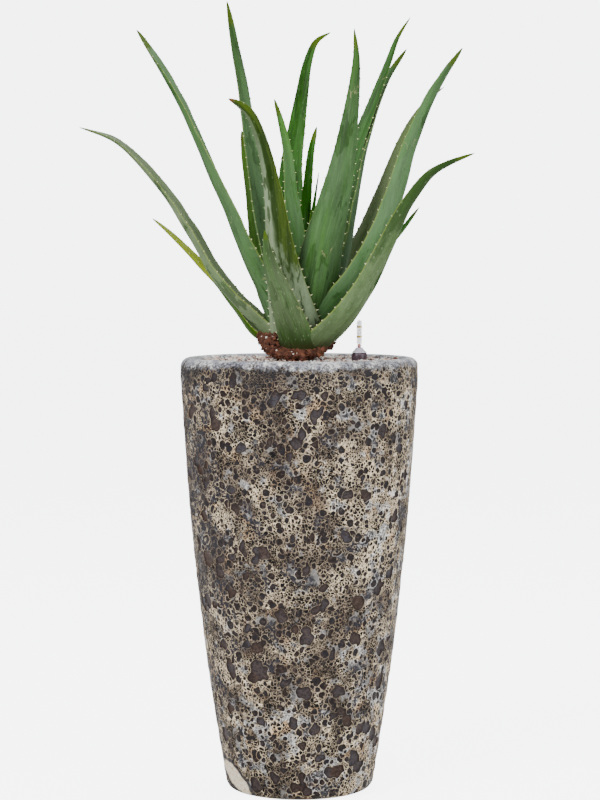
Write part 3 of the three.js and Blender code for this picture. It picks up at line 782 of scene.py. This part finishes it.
soil_finish, tree, shader = new_material("coir_and_bark", Roughness=0.95)
bit_tone = reading(tree, "tone")
earth = crumbly(tree, paint(22, 12, 8), paint(128, 82, 60), 300)
dry = mixed(ease(bit_tone, 0.0, 0.6), paint(190, 160, 150), paint(255, 240, 225))
colour = mixed(1.0, earth.outputs["Color"], dry, "MULTIPLY")
colour = mixed(ease(bit_tone, 0.70, 0.72), colour, paint(150, 98, 62))
colour = mixed(ease(bit_tone, 0.90, 0.92), colour, paint(232, 226, 216))
finish(soil, soil_finish, colour, earth.outputs["Height"], 0.8, 0.0012)
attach(soil, "planter")
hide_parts("root_ball")


# The stem is a short pale stump inside the soil ball that all the leaves grow from. Only its finish is made
# here. Its skin is fibrous, ringed where old leaves came off.


def stretched(where, x, y, z=1):
    """A place scaled along its axes, for what is drawn longer one way."""
    return put(tree_of(where), "Mapping", {"Vector": where, "Scale": (x, y, z)}).outputs[0]


stem_finish, tree, shader = new_material("leafless_stem", Roughness=0.75)
where = own_place(tree)
fibre = cloud(stretched(where, 60, 60, 420), 1, 4)
colour = mixed(ease(fibre, 0.35, 0.65), paint(150, 140, 96), paint(186, 190, 140))
finish(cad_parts["stem"], stem_finish, colour, fibre, 0.6, 0.001)


# The leaves are thick and full of gel, hollowed in front and rounded behind, with a waxy blue-green bloom.
# Each grows from the stem and is a single closed body with a row of pale horny teeth along both margins.
CHANNEL = 0.26
THIN = 0.65
TIP_RISE = 3
TIP_CLOSE = 12
TIP_ROUND = 0.6
MARGIN_ROUND = 0.14
ROW_STEP = 0.0030
WIDE_LEAF = 50
COLUMNS_WIDE = 56
COLUMNS_SLIM = 44
ROWS_TO_TIP = 1.12
SHRINK = 0.00045
DENTS = 0.0008
SWAY = 0.0006
SPINE_STEP = 0.002
TOOTH_LENGTH = 0.0036
TOOTH_HALF_BASE = 0.0020
TOOTH_HALF_THICK = 0.0010
TOOTH_SUNK = 0.0009
TOOTH_SWELL = 0.0007
TOOTH_HOOK = 0.45
WAIST_LEVEL = 0.45
WAIST_WIDE = 0.72
TOOTH_FIRST = 0.06
TOOTH_LAST = 0.975

# Each leaf's width and thickness at the root, how full it stays, how it tapers and how wide its tip ends,
# then the way its blade faces at root and tip, in degrees, and its path from the crown. All lengths are in
# millimetres.
LEAF_MEASURES = ("width", "thick", "full", "taper", "tip", "back", "path")
LEAVES = {
    "leaf_heart_right": (
        24, 8, 1, 0.65, 8, (-20, 0),
        [(6, 7, 20), (13, 11, 117), (19, 11, 164), (26, 13, 210), (32, 16, 250)]),
    "leaf_heart_mid": (
        36, 9, 1, 1, 9, (60, 80),
        [(3, 14, 14), (9, 22, 88), (11, 26, 152), (16, 31, 224), (21, 36, 279), (29, 41, 316)]),
    "leaf_heart_left": (
        52, 11, 1, 1.1, 10, (110, 120),
        [(-3, -4, 14), (-1, -5, 102), (-3, -4, 159), (-9, 1, 218), (-14, 9, 278), (-22, 13, 317),
         (-32, 17, 354)]),
    "leaf_broad_centre": (
        86, 17, 1, 1.12, 6, (-82, -85),
        [(8, -14, 8), (26, -30, 81), (40, -46, 152), (54, -56, 208), (66, -60, 263), (75, -60, 319),
         (82, -54, 375), (84, -48, 410), (81, -40, 449)]),
    "leaf_tall_left": (
        46, 14, 1.2, 1, 13, (125, 130),
        [(-6, 12, 10), (-34, 52, 115), (-51, 76, 185), (-63, 94, 256), (-72, 106, 315), (-80, 114, 374),
         (-91, 120, 433), (-103, 126, 505)]),
    "leaf_right_upright": (
        66, 14, 1.2, 1, 12, (-10, 50),
        [(16, -2, 12), (49, 10, 78), (70, 22, 141), (80, 42, 203), (92, 66, 269), (110, 88, 331),
         (131, 104, 385), (162, 116, 434)]),
    "leaf_back_right": (
        46, 13, 1.2, 1.05, 6, (70, 60),
        [(8, 14, 10), (37, 40, 117), (59, 56, 185), (76, 66, 243), (92, 74, 298), (114, 82, 357),
         (135, 90, 413), (148, 95, 448), (167, 100, 479)]),
    "leaf_back_tall": (
        58, 14, 1.4, 1.15, 10, (95, 85),
        [(-2, 20, 8), (-8, 64, 109), (-9, 98, 197), (-8, 122, 260), (0, 142, 317), (8, 160, 370),
         (17, 174, 420), (29, 180, 450), (51, 183.8, 465)]),
    "leaf_right_long": (
        70, 18, 1.1, 1, 24, (-48, -22),
        [(20, -8, 8), (62, -14, 61), (93, -18, 102), (124, -18, 163), (147, -10, 232), (166, 0, 294),
         (190, 10, 350), (212, 16, 388), (238, 24, 427)]),
    "leaf_upper_left": (
        56, 17, 1.1, 0.9, 22, (215, 150),
        [(-18, -4, 10), (-44, -14, 78), (-71, -24, 138), (-94, -32, 194), (-119, -38, 250),
         (-144, -42, 306), (-172, -42, 363), (-197, -40, 404), (-225, -36, 447)]),
    "leaf_front_curl": (
        82, 17, 1, 1.45, 20, (-100, -115),
        [(2, -30, 4), (-12, -46, 67), (-22, -62, 121), (-28, -76, 165), (-32, -86, 201), (-41, -98, 255),
         (-53, -106, 298), (-65, -110, 324), (-78, -112, 336), (-94, -114, 345)]),
    "leaf_right_brown": (
        58, 14, 1.2, 1, 12, (40, 25),
        [(22, 18, 8), (63, 44, 78), (92, 64, 138), (117, 80, 197), (140, 94, 256), (158, 102, 303),
         (178, 108, 338), (198, 112, 362), (218, 116, 379)]),
    "leaf_back_left": (
        46, 11, 1.2, 1, 14, (125, 125),
        [(-14, 22, 8), (-44, 50, 77), (-57, 82, 138), (-66, 112, 205), (-75, 134, 265), (-82, 150, 316)]),
    "leaf_far_left": (
        40, 18, 1.1, 0.9, 12, (176, 140),
        [(-22, 2, 6), (-50, 8, 35), (-81, 14, 64), (-119, 20, 109), (-152, 25, 167), (-191, 30, 224),
         (-226, 34, 265), (-262, 38, 296), (-314, 43, 315)]),
    "leaf_right_front": (
        56, 18, 1.1, 0.95, 14, (-45, -35),
        [(24, -29, 2), (51, -46, 24), (81, -62, 59), (110, -78, 108), (138, -93, 169), (158, -103, 206),
         (185, -110, 241), (211, -116, 257), (245, -122, 270)]),
    "leaf_low_right": (
        34, 10, 1.2, 1, 8, (45, 40),
        [(22, 26, 6), (51, 48, 51), (90, 80, 95), (130, 108, 139), (159, 126, 171), (183, 140, 203)]),
    "leaf_low_left": (
        36, 12, 1.2, 0.9, 12, (160, 155),
        [(-30, 10, 4), (-59, 28, 21), (-89, 48, 59), (-120, 62, 96), (-156, 74, 134), (-185, 84, 162),
         (-212, 92, 185)]),
    "leaf_front_short": (
        53, 11, 1.5, 1.1, 6, (-100, -110),
        [(4, -42, -7), (-11, -66, 40), (-20, -82, 68), (-30, -96, 96), (-39, -110, 125), (-44, -126, 165)]),
}


def start_edit():
    """Edit mode with everything selected."""
    bpy.ops.object.mode_set(mode="EDIT")
    bpy.ops.mesh.select_all(action="SELECT")


def unit(ways):
    return ways / np.linalg.norm(ways, axis=-1, keepdims=True)


def spine(path):
    """Places and directions along a centripetal Catmull-Rom curve through the path, by share of its
    length."""
    knots = [np.array(p) / 1000 + np.array(CROWN) for p in path]
    knots = [2 * knots[0] - knots[1], *knots, 2 * knots[-1] - knots[-2]]
    dense = []
    for before, start, end, after in zip(knots, knots[1:], knots[2:], knots[3:]):
        gaps = [math.sqrt(np.linalg.norm(b - a)) for a, b in ((before, start), (start, end), (end, after))]
        first, middle, last = gaps
        leave = ((start - before) / first - (end - before) / (first + middle)
                 + (end - start) / middle) * middle
        reach = ((end - start) / middle - (after - start) / (middle + last) + (after - end) / last) * middle
        for s in np.linspace(0, 1, 60, endpoint=False):
            dense.append(start + leave * s + (3 * (end - start) - 2 * leave - reach) * s * s
                         + (2 * (start - end) + leave + reach) * s ** 3)
    dense = np.array([*dense, knots[-2]])
    run = np.concatenate([[0], np.cumsum(np.linalg.norm(np.diff(dense, axis=0), axis=1))])

    def place_at(share):
        return np.stack([np.interp(share * run[-1], run, dense[:, k]) for k in range(3)], -1)

    def at(share):
        along = place_at(np.minimum(share + SPINE_STEP, 1)) - place_at(np.maximum(share - SPINE_STEP, 0))
        return place_at(share), unit(along)
    return at, run[-1]


def leaf_frame(leaf, at, share):
    """The place, and the directions along, across and out of the hollow front, at a share of a leaf's
    length."""
    place, along = at(share)
    back = np.radians(leaf["back"][0] + (leaf["back"][1] - leaf["back"][0]) * share)
    flat_way = np.stack([-np.sin(back), np.cos(back), np.zeros_like(back)], -1)
    front = unit(np.cross(along, flat_way))
    return place, along, unit(np.cross(front, along)), front


def leaf_depth(leaf, share, sideways, round_back, half):
    """How far a point of the skin stands out of the spine: on the hollow front, or on the back by
    round_back."""
    thick = leaf["thick"] / 1000 * (1 - share) ** THIN
    hollow = thick / 2 + CHANNEL * half * (sideways ** 2 - 0.5) - MARGIN_ROUND * thick * np.abs(sideways) ** 6
    return hollow + thick * round_back


def leaf_half(leaf, share):
    blade = leaf["width"] * (1 - share ** leaf["full"]) ** leaf["taper"]
    return (blade + leaf["tip"] * share ** TIP_RISE * (1 - share ** TIP_CLOSE) ** TIP_ROUND) / 2000


def tooth_shape():
    """One horny tooth, base in the XY plane and point up: a six-sided cone with a drawn-in waist."""
    bpy.ops.object.select_all(action="DESELECT")
    bpy.ops.mesh.primitive_cone_add(vertices=6, radius1=1, radius2=0.05, depth=1, location=(0, 0, 0.5))
    bpy.ops.object.transform_apply(location=True)
    cone = bpy.context.object
    start_edit()
    bpy.ops.mesh.bisect(plane_co=(0, 0, WAIST_LEVEL), plane_no=(0, 0, 1))
    bpy.ops.mesh.select_all(action="SELECT")
    bpy.ops.mesh.quads_convert_to_tris()
    bpy.ops.object.mode_set(mode="OBJECT")
    corners = places_of(cone)
    waist = np.abs(corners[:, 2] - WAIST_LEVEL) < 0.02
    corners[waist, :2] *= WAIST_WIDE
    corners[:, 0] += TOOTH_HOOK * corners[:, 2] ** 1.5
    faces = np.array([tuple(face.vertices) for face in cone.data.polygons])
    bpy.data.objects.remove(cone)
    return corners, faces


def grown_leaf(name, leaf, tooth, seed):
    """A leaf's skin, a wrapped grid closed at root and tip, with its teeth set along both margins."""
    dice = np.random.default_rng(seed)
    at, length = spine(leaf["path"])
    columns = COLUMNS_WIDE if leaf["width"] > WIDE_LEAF else COLUMNS_SLIM
    rows = int(length / ROW_STEP)
    bpy.ops.object.select_all(action="DESELECT")
    bpy.ops.mesh.primitive_grid_add(x_subdivisions=columns, y_subdivisions=rows, size=1)
    blade = bpy.context.object
    grid = places_of(blade)
    around = np.round((grid[:, 0] + 0.5) * columns) % columns / columns * 2 * math.pi
    share = np.clip(grid[:, 1] + 0.5, 0, 1)
    share = 1 - (1 - share) ** ROWS_TO_TIP
    sideways = np.cos(around)
    on_back = np.sin(around) < -1e-9
    round_back = np.where(on_back, np.sin(around), 0)
    place, along, across, front = leaf_frame(leaf, at, share)
    half = leaf_half(leaf, share)
    body = np.clip(half / 0.012, 0, 1) * (1 - np.abs(sideways) ** 4)
    wide, far = half * sideways, share * length
    shrink = SHRINK * ripples(wide, far * 0.06, on_back * 0.01, 0.0085, seed)
    dents = DENTS * ripples(wide, far * 0.5, on_back * 0.02, 0.034, seed + 50)
    sway = SWAY * ripples(far, far * 0, np.sign(sideways) * 0.05, 0.045, seed + 90) * np.abs(sideways) ** 3
    depth = leaf_depth(leaf, share, sideways, round_back, half) + (shrink + dents) * body
    depth += sway * np.clip(half / 0.01, 0, 1)
    stations, teeth_out = [], np.zeros(len(share))
    for side in (1, -1):
        t = TOOTH_FIRST + dice.uniform(0, 0.01)
        while t < TOOTH_LAST:
            size = (1 - 0.6 * t) * dice.uniform(0.75, 1.15)
            stations.append((t, side, size))
            pitch = (0.0085 + 0.008 * min(1, t / 0.3)) * (1 - 0.35 * max(0, t - 0.6) / 0.4)
            t += pitch * dice.uniform(0.8, 1.2) / length
    for t, side, size in stations:
        gap = (share - t) * length / (TOOTH_HALF_BASE * 1.6 * size)
        near_margin = np.clip((sideways * side - 0.8) / 0.2, 0, 1)
        teeth_out += TOOTH_SWELL * size * np.exp(-gap * gap) * near_margin * np.sign(side)
    place = place + across * (wide + teeth_out)[:, None] + front * depth[:, None]
    move_to(blade, place)
    mark(blade, "across", sideways)
    mark(blade, "along", share)
    mark(blade, "back", on_back.astype(float))
    mark(blade, "tooth", np.zeros(len(share)))
    mark(blade, "skin", np.stack([wide, far, on_back * 0.2 + seed], 1), "FLOAT_VECTOR")
    start_edit()
    bpy.ops.mesh.remove_doubles(threshold=1e-7)
    bpy.ops.mesh.select_all(action="DESELECT")
    bpy.ops.mesh.select_mode(type="EDGE")
    bpy.ops.mesh.select_non_manifold()
    bpy.ops.mesh.edge_face_add()
    end_edit()

    corners, faces = tooth
    points, triangles, height, sides, shares, skins = [], [], [], [], [], []
    for k, (t, side, size) in enumerate(stations):
        base, tooth_along, tooth_across, tooth_front = leaf_frame(leaf, at, np.array(t))
        half_here = float(leaf_half(leaf, t))
        stand = float(leaf_depth(leaf, t, float(side), 0, half_here))
        out = tooth_across * side + tooth_front * dice.uniform(-0.15, 0.2)
        centre = base + tooth_across * side * (half_here + 0.0006 * size - TOOTH_SUNK) + tooth_front * stand
        points.append(centre + corners[:, :1] * tooth_along * TOOTH_HALF_BASE * size
                      + corners[:, 1:2] * tooth_front * TOOTH_HALF_THICK * size
                      + corners[:, 2:] * out * (TOOTH_LENGTH * size + TOOTH_SUNK))
        triangles.append(faces + k * len(corners))
        height.append(0.25 + 0.75 * np.clip(corners[:, 2], 0, 1))
        sides.append(np.full(len(corners), float(side)))
        shares.append(np.full(len(corners), t))
        skins.append(np.tile([half_here * side, t * length, seed], (len(corners), 1)))
    teeth = built(name + "_teeth", points, triangles)
    mark(teeth, "across", np.concatenate(sides))
    mark(teeth, "along", np.concatenate(shares))
    mark(teeth, "back", np.zeros(len(teeth.data.vertices)))
    mark(teeth, "tooth", np.concatenate(height))
    mark(teeth, "skin", np.concatenate(skins), "FLOAT_VECTOR")
    select(teeth)
    start_edit()
    end_edit()
    whole = joined(name, blade, teeth)
    bpy.ops.object.shade_smooth()
    return whole


def leaf_skin_group():
    """Aloe skin: colour, roughness and height, from a leaf's colours, its amounts of bloom and marks, and
    painted light and shade.
    """
    colours = ("Fresh", "Deep", "Bloom", "Margin", "Tip")
    takes = {socket: "Color" if socket in colours else "Float" for socket in COMMON_LOOK}
    group, given, result = new_group("leaf_skin", takes,
                                     {"Color": "Color", "Roughness": "Float", "Height": "Float"})
    skin = reading(group, "skin", "Vector")
    across = reading(group, "across")
    share = reading(group, "along")
    tooth = reading(group, "tooth")
    where = own_place(group)

    lengthwise = stretched(skin, 620, 26)
    streak = cloud(lengthwise, 1, 4, 0.6)
    broad = cloud(stretched(skin, 120, 11), 1, 3)
    shade = scale_add(broad, 0.6, times(streak, 0.4))
    colour = mixed(ease(shade, 0.32, 0.66), given["Deep"], given["Fresh"])

    film = cloud(stretched(skin, 85, 18), 1, 5, 0.62)
    fine_film = cloud(stretched(skin, 900, 240), 1, 3)
    bloom = scale_add(fine_film, 0.35, film)
    rooted = ease(scale_add(film, 0.12, share), given["Root End"], 0.02)
    bloom = times(ease(bloom, 0.12, 0.86), given["Bloom Amount"])
    bloom = times(bloom, inverse(rooted))
    bloom = times(bloom, ease(scale_add(film, 0.3, share), 0.70, 1.10, 1, 0.35))
    rub = cloud(shifted(stretched(skin, 52, 15), 3, 0.5), 1, 4)
    rub = times(ease(rub, 0.585, 0.61), given["Rub Amount"])
    bloom = times(bloom, inverse(rub))
    # Painted shade: the lowest part of the leaf, by the root, is darkened towards the deep green.
    low = ease(share, times(given["Root End"], 0.5), 0.02)
    colour = mixed(times(low, 0.85), colour, given["Deep"])
    colour = mixed(bloom, colour, given["Bloom"])
    colour = mixed(times(rub, 0.6), colour, given["Deep"])
    # Painted light: the hollow front or the rounded back is lightened towards the bloom colour, each by its
    # own amount, where these faces would fall dark.
    back = reading(group, "back")
    pale = between(back, given["Upper Painted Light"], given["Under Painted Light"])
    pale = times(pale, ease(film, 0.25, 0.62, 0.5, 1))
    colour = mixed(pale, colour, given["Bloom"])

    line = times(ease(streak, 0.60, 0.70), given["Streak Amount"])
    colour = mixed(line, colour, given["Bloom"])

    waver = scale_add(film, 0.7, minus(across, 0.35))
    waver = maths("ABSOLUTE", minus(waver, given["Band Place"]))
    centre = ease(maths("DIVIDE", waver, given["Band Width"]), 1.0, 0.55)
    from_start = scale_add(film, 0.8, minus(share, given["Band Start"]))
    centre = times(centre, ease(from_start, 0.35, 0.50))
    band = mixed(ease(scale_add(across, 0.22, shade), 0.52, 0.76), given["Deep"], given["Fresh"])
    colour = mixed(times(centre, given["Band Amount"]), colour, band)

    spotted = stretched(skin, 330, 120)
    flecks = cells(spotted, 1)
    fleck = times(ease(flecks.outputs["Distance"], 0.30, 0.16), ease(lots(flecks)[0], 0.55, 0.75))
    colour = mixed(times(fleck, given["Spot Amount"]), colour, given["Bloom"])

    scratch = cells(shifted(stretched(skin, 34, 13),
                                   2, 0.8), 1, "DISTANCE_TO_EDGE")
    seldom = ease(cloud(skin, 24, 2), 0.60, 0.66)
    scar = times(ease(scratch.outputs["Distance"], 0.014, 0.004), seldom)
    scar = times(scar, given["Scar Amount"])
    colour = mixed(scar, colour, paint(150, 150, 104))

    edge = ease(maths("ABSOLUTE", across), 0.982, 0.998)
    colour = mixed(times(edge, 0.45), colour, given["Margin"])

    tip_line = scale_add(cloud(skin, 70, 3), 0.03, share)
    tip = ease(minus(tip_line, given["Tip Start"]), 0.0, 0.03)
    colour = mixed(times(tip, 0.9), colour, given["Tip"])

    horn = mixed(ease(tooth, 0.3, 0.55), given["Margin"], paint(232, 230, 188))
    horn = mixed(ease(tooth, 0.90, 1.0), horn, paint(200, 150, 100))
    colour = mixed(ease(tooth, 0.05, 0.2), colour, horn)

    height = parts_of(where)[2]
    splash = scale_add(cloud(where, 160, 4), 0.020, height)
    dirt = ease(splash, 0.660, 0.648)
    colour = mixed(times(dirt, 0.35), colour, paint(60, 42, 24))

    group.links.new(colour, result["Color"])
    dull = larger(larger(bloom, dirt), scar)
    group.links.new(ease(dull, 0, 1, 0.40, 0.70), result["Roughness"])
    relief = scale_add(fine_film, 0.35, times(streak, 0.65))
    relief = minus(relief, times(scar, 0.5))
    group.links.new(relief, result["Height"])
    return group


FRESH = paint(44, 84, 18)
DEEP = paint(14, 38, 0)
WAX = paint(106, 138, 98)
GREY_WAX = paint(126, 142, 108)
PALE_MARGIN = paint(140, 158, 66)
OLIVE_TIP = paint(70, 92, 16)
BROWN_TIP = paint(120, 62, 34)
HEART_FRESH = paint(40, 104, 0)
HEART_DEEP = paint(20, 56, 0)
TALL_FRESH = paint(46, 98, 16)
# Each leaf's own colours and amounts. Its upper and under amounts are painted light on its front and back
# faces.
LEAF_LOOKS = {
    "leaf_heart_right": {"Fresh": HEART_FRESH, "Deep": HEART_DEEP, "Bloom Amount": 0.0, "Spot Amount": 0.3},
    "leaf_heart_mid": {"Fresh": HEART_FRESH, "Deep": HEART_DEEP, "Bloom Amount": 0.0, "Spot Amount": 0.3},
    "leaf_heart_left": {"Fresh": paint(74, 128, 38), "Deep": paint(46, 92, 20), "Bloom Amount": 0.74,
        "Streak Amount": 0.5, "Spot Amount": 0.3, "Root End": 0.05},
    "leaf_broad_centre": {"Fresh": paint(50, 92, 18), "Bloom Amount": 0.48, "Band Amount": 0.2,
                          "Band Width": 0.6,
        "Root End": 0.46, "Rub Amount": 0.35},
    "leaf_tall_left": {"Bloom Amount": 0.63, "Spot Amount": 0.1},
    "leaf_right_upright": {"Bloom Amount": 0.18, "Band Amount": 0.3, "Root End": 0.45, "Under Painted Light": 0.9,
        "Upper Painted Light": 0.3},
    "leaf_back_right": {"Fresh": TALL_FRESH, "Bloom Amount": 0.3, "Under Painted Light": 0.6},
    "leaf_back_tall": {"Fresh": TALL_FRESH, "Bloom Amount": 0.09, "Streak Amount": 0.4, "Spot Amount": 0.25},
    "leaf_right_long": {"Fresh": TALL_FRESH, "Bloom Amount": 0.55, "Rub Amount": 0.8, "Root End": 0.34,
        "Under Painted Light": 0.25},
    "leaf_upper_left": {"Bloom Amount": 0.44, "Rub Amount": 0.4, "Upper Painted Light": 0.8},
    "leaf_front_curl": {"Fresh": paint(60, 80, 10), "Deep": paint(24, 46, 0), "Bloom": paint(142, 160, 126),
        "Bloom Amount": 0.81, "Band Amount": 0.95, "Band Place": 0.55, "Band Width": 0.8, "Band Start": 0.27,
        "Rub Amount": 0.6, "Root End": 0.03, "Tip": BROWN_TIP, "Tip Start": 0.985},
    "leaf_right_brown": {"Fresh": paint(92, 124, 56), "Deep": paint(64, 90, 30),
                         "Bloom": paint(150, 158, 130),
        "Bloom Amount": 0.44, "Streak Amount": 0.6, "Root End": 0.03},
    "leaf_back_left": {"Fresh": paint(80, 118, 36), "Deep": paint(50, 82, 12), "Bloom Amount": 0.11,
        "Spot Amount": 0.35},
    "leaf_far_left": {"Bloom": GREY_WAX, "Bloom Amount": 0.60, "Rub Amount": 0.7, "Upper Painted Light": 0.4,
        "Under Painted Light": 0.25, "Root End": 0.05},
    "leaf_right_front": {"Fresh": paint(48, 86, 16), "Deep": paint(24, 54, 4), "Bloom": GREY_WAX,
        "Bloom Amount": 0.50, "Streak Amount": 0.4, "Spot Amount": 0.35, "Rub Amount": 0.9,
        "Band Amount": 0.7,
        "Band Width": 3, "Band Start": 0.48},
    "leaf_low_right": {"Fresh": HEART_FRESH, "Bloom Amount": 0.15},
    "leaf_low_left": {"Fresh": paint(76, 108, 8), "Deep": paint(40, 76, 0), "Bloom Amount": 0.0,
        "Tip": paint(122, 138, 14), "Tip Start": 0.5},
    "leaf_front_short": {"Bloom": GREY_WAX, "Bloom Amount": 0.44, "Rub Amount": 0.25, "Spot Amount": 0.4,
        "Root End": 0.42},
}
COMMON_LOOK = {
    "Fresh": FRESH, "Deep": DEEP, "Bloom": WAX, "Margin": PALE_MARGIN, "Tip": OLIVE_TIP, "Bloom Amount": 0.3,
    "Streak Amount": 0.25, "Spot Amount": 0.12, "Scar Amount": 0.5, "Band Amount": 0.1, "Band Place": 0.0,
    "Band Width": 0.4, "Band Start": 0.27, "Rub Amount": 0.3, "Tip Start": 0.93, "Root End": 0.12,
    "Upper Painted Light": 0.0, "Under Painted Light": 0.0
}
leaf_skin = leaf_skin_group()
tooth = tooth_shape()
for seed, (name, measures) in enumerate(LEAVES.items()):
    leaf = dict(zip(LEAF_MEASURES, measures))
    finished_leaf = grown_leaf(name.replace("leaf", "aloe"), leaf, tooth, seed + 1)
    leaf_finish, tree, shader = new_material(name + "_skin", Specular_IOR_Level=0.08)
    drawn = put(tree, "Group", {**COMMON_LOOK, **LEAF_LOOKS[name]}, node_tree=leaf_skin).outputs
    finish(finished_leaf, leaf_finish, drawn["Color"], drawn["Height"], 0.5, 0.0006, drawn["Roughness"])
    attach(finished_leaf, "planter")
    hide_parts(name)


# The water gauge: a moulded collar on the gravel, a smoked clear hood, a clear tube with two yellow marks,
# and the float's rod and orange tip, which ride up in the tube. Its pipe is hidden in the growing medium.
COLLAR_BOTTOM = 0.6113
COLLAR_TOP = 0.627
HOOD_TOP = 0.6345
TUBE_RADIUS = 0.00385
TUBE_BORE = 0.00285
TUBE_BOTTOM = 0.616
TUBE_TOP = 0.674
PIPE_BORE = 0.0052
GAUGE_SIDES = 48
TUBE_SIDES = 40
FLOAT_SIDES = 32
SHARP_FROM = math.radians(38)
PLAY = 0.0003
FLOAT_BOTTOM = 0.0643
FLOAT_RADIUS = 0.0046
FLOAT_TOP = FLOAT_BOTTOM + 0.060
ROD_RADIUS = 0.0012
TIP_RADIUS = 0.0023
TIP_TOP = 0.640
TIP_BOTTOM = TIP_TOP - 0.012


def outline(radius, height, *steps):
    """Points of a profile, given in tenths of a millimetre outwards and up from one place."""
    return [(radius + out / 10000, height + up / 10000) for out, up in steps]


def put_at_gauge(piece):
    """Moves a turned piece of the gauge from the axis to its place in the gravel, in its own mesh."""
    move_to(piece, places_of(piece) + np.array(GAUGE_PLACE))


collar = turned("moulded_collar", [
    (PIPE_BORE, COLLAR_BOTTOM), *outline(COLLAR_RADIUS, COLLAR_BOTTOM, (-4, 0), (0, 4)),
    *outline(COLLAR_RADIUS, COLLAR_TOP, (0, -78), (-4, -75), (-4, -68), (0, -65), (0, -20), (-2, -10),
             (-7, -3),
             (-14, 0)),
    (TUBE_RADIUS + PLAY, COLLAR_TOP), (TUBE_RADIUS + PLAY, COLLAR_BOTTOM + 0.0037),
], GAUGE_SIDES)
put_at_gauge(collar)
collar_finish, tree, shader = new_material("collar_plastic", Specular_IOR_Level=0.5)
where = own_place(tree)
speckle = cloud(where, 1400, 3)
dust = cloud(where, 260, 4)
colour = mixed(ease(dust, 0.5, 0.75), paint(58, 40, 50), paint(96, 80, 84))
finish(collar, collar_finish, colour, speckle, 0.25, 0.0002, roughness=ease(dust, 0.4, 0.8, 0.32, 0.6))

hood = turned("smoked_hood", [
    (TUBE_RADIUS + PLAY, COLLAR_TOP + PLAY), *outline(COLLAR_RADIUS, COLLAR_TOP, (-9, 3), (-6, 6), (-8, 14)),
    *outline(TUBE_RADIUS, COLLAR_TOP, (42, 34), (23, 54)),
    *outline(TUBE_RADIUS, HOOD_TOP, (13, -4), (10, 0), (3, 0)),
], GAUGE_SIDES)
put_at_gauge(hood)
hood_finish, tree, shader = new_material("smoked_plastic", IOR=1.45, Transmission_Weight=0.1, Roughness=0.18)
haze = cloud(own_place(tree), 500, 3)
finish(hood, hood_finish, mixed(ease(haze, 0.35, 0.7), paint(214, 208, 222), paint(192, 186, 204)))

dome = TUBE_TOP - TUBE_RADIUS
tube = turned("gauge_clear_tube", [
    (0, dome + TUBE_BORE), *arc(0, dome, TUBE_BORE, 80, 0, 8),
    *outline(TUBE_BORE, TUBE_BOTTOM, (0, 3), (2, 0)),
    *outline(TUBE_RADIUS, TUBE_BOTTOM, (-2, 0), (0, 3)),
    *[(TUBE_RADIUS, float(h)) for h in np.linspace(TUBE_BOTTOM + 0.002, dome, 20)],
    *arc(0, dome, TUBE_RADIUS, 8, 90, 9)[:-1], (0, TUBE_TOP),
], TUBE_SIDES)
put_at_gauge(tube)
MARK_LEVELS = (0.650, 0.664)
MARK_HALF = 0.0011
tube_finish, tree, shader = new_material("clear_plastic", IOR=1.45, Roughness=0.12)
where = own_place(tree)
height = parts_of(where)[2]
in_mark = 0
for mark_level in MARK_LEVELS:
    off = maths("ABSOLUTE", minus(height, mark_level))
    in_mark = larger(in_mark, ease(off, MARK_HALF + 0.0001, MARK_HALF - 0.0001))
haze = cloud(where, 600, 3)
clear = mixed(ease(haze, 0.3, 0.7), paint(206, 206, 212), paint(190, 190, 196))
cover = ease(height, TIP_TOP - 0.0002, TIP_TOP + 0.0008, 0.14, 0.34)
tree.links.new(larger(in_mark, cover), shader.inputs["Alpha"])
finish(tube, tube_finish, mixed(in_mark, clear, paint(222, 184, 40)))

float_piece = turned("float_and_tip", [
    (0, FLOAT_BOTTOM), *outline(FLOAT_RADIUS, FLOAT_BOTTOM, (-10, 0), (-3, 5), (0, 20)),
    (FLOAT_RADIUS, FLOAT_TOP - 0.006), (FLOAT_RADIUS * 0.8, FLOAT_TOP - 0.003), (ROD_RADIUS, FLOAT_TOP),
    (ROD_RADIUS, TIP_BOTTOM), *outline(TIP_RADIUS, TIP_BOTTOM, (-3, 4), (0, 10)),
    *outline(TIP_RADIUS, TIP_TOP, (0, -10), (-4, -3), (-10, 0)), (0, TIP_TOP),
], FLOAT_SIDES)
put_at_gauge(float_piece)
float_finish, tree, shader = new_material("float_plastic", Roughness=0.45)
where = own_place(tree)
height = parts_of(where)[2]
wear = cloud(where, 900, 3)
tip_colour = mixed(ease(wear, 0.4, 0.7), paint(238, 104, 10), paint(226, 84, 6))
colour = mixed(ease(height, TIP_TOP - 0.0034, TIP_TOP - 0.0026), paint(150, 14, 10), tip_colour)
colour = mixed(ease(height, FLOAT_TOP, FLOAT_TOP + 0.01), paint(214, 214, 210), colour)
finish(float_piece, float_finish, colour, wear, 0.2, 0.0002)

GAUGE_PIECES = ((collar, "gauge_collar", "planter"), (hood, "gauge_hood", "planter"),
                (tube, "gauge_tube", "planter"), (float_piece, "gauge_float", "float"))
for piece, node_name, body in GAUGE_PIECES:
    select(piece)
    bpy.ops.object.shade_smooth_by_angle(angle=SHARP_FROM)
    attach(piece, body)
    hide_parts(node_name)

pipe_finish, tree, shader = new_material("pipe_plastic", Roughness=0.5)
scuff = cloud(own_place(tree), 300, 4)
colour = mixed(ease(scuff, 0.4, 0.7), paint(48, 48, 50), paint(76, 72, 70))
finish(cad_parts["gauge_pipe"], pipe_finish, colour, scuff, 0.3, 0.0003)
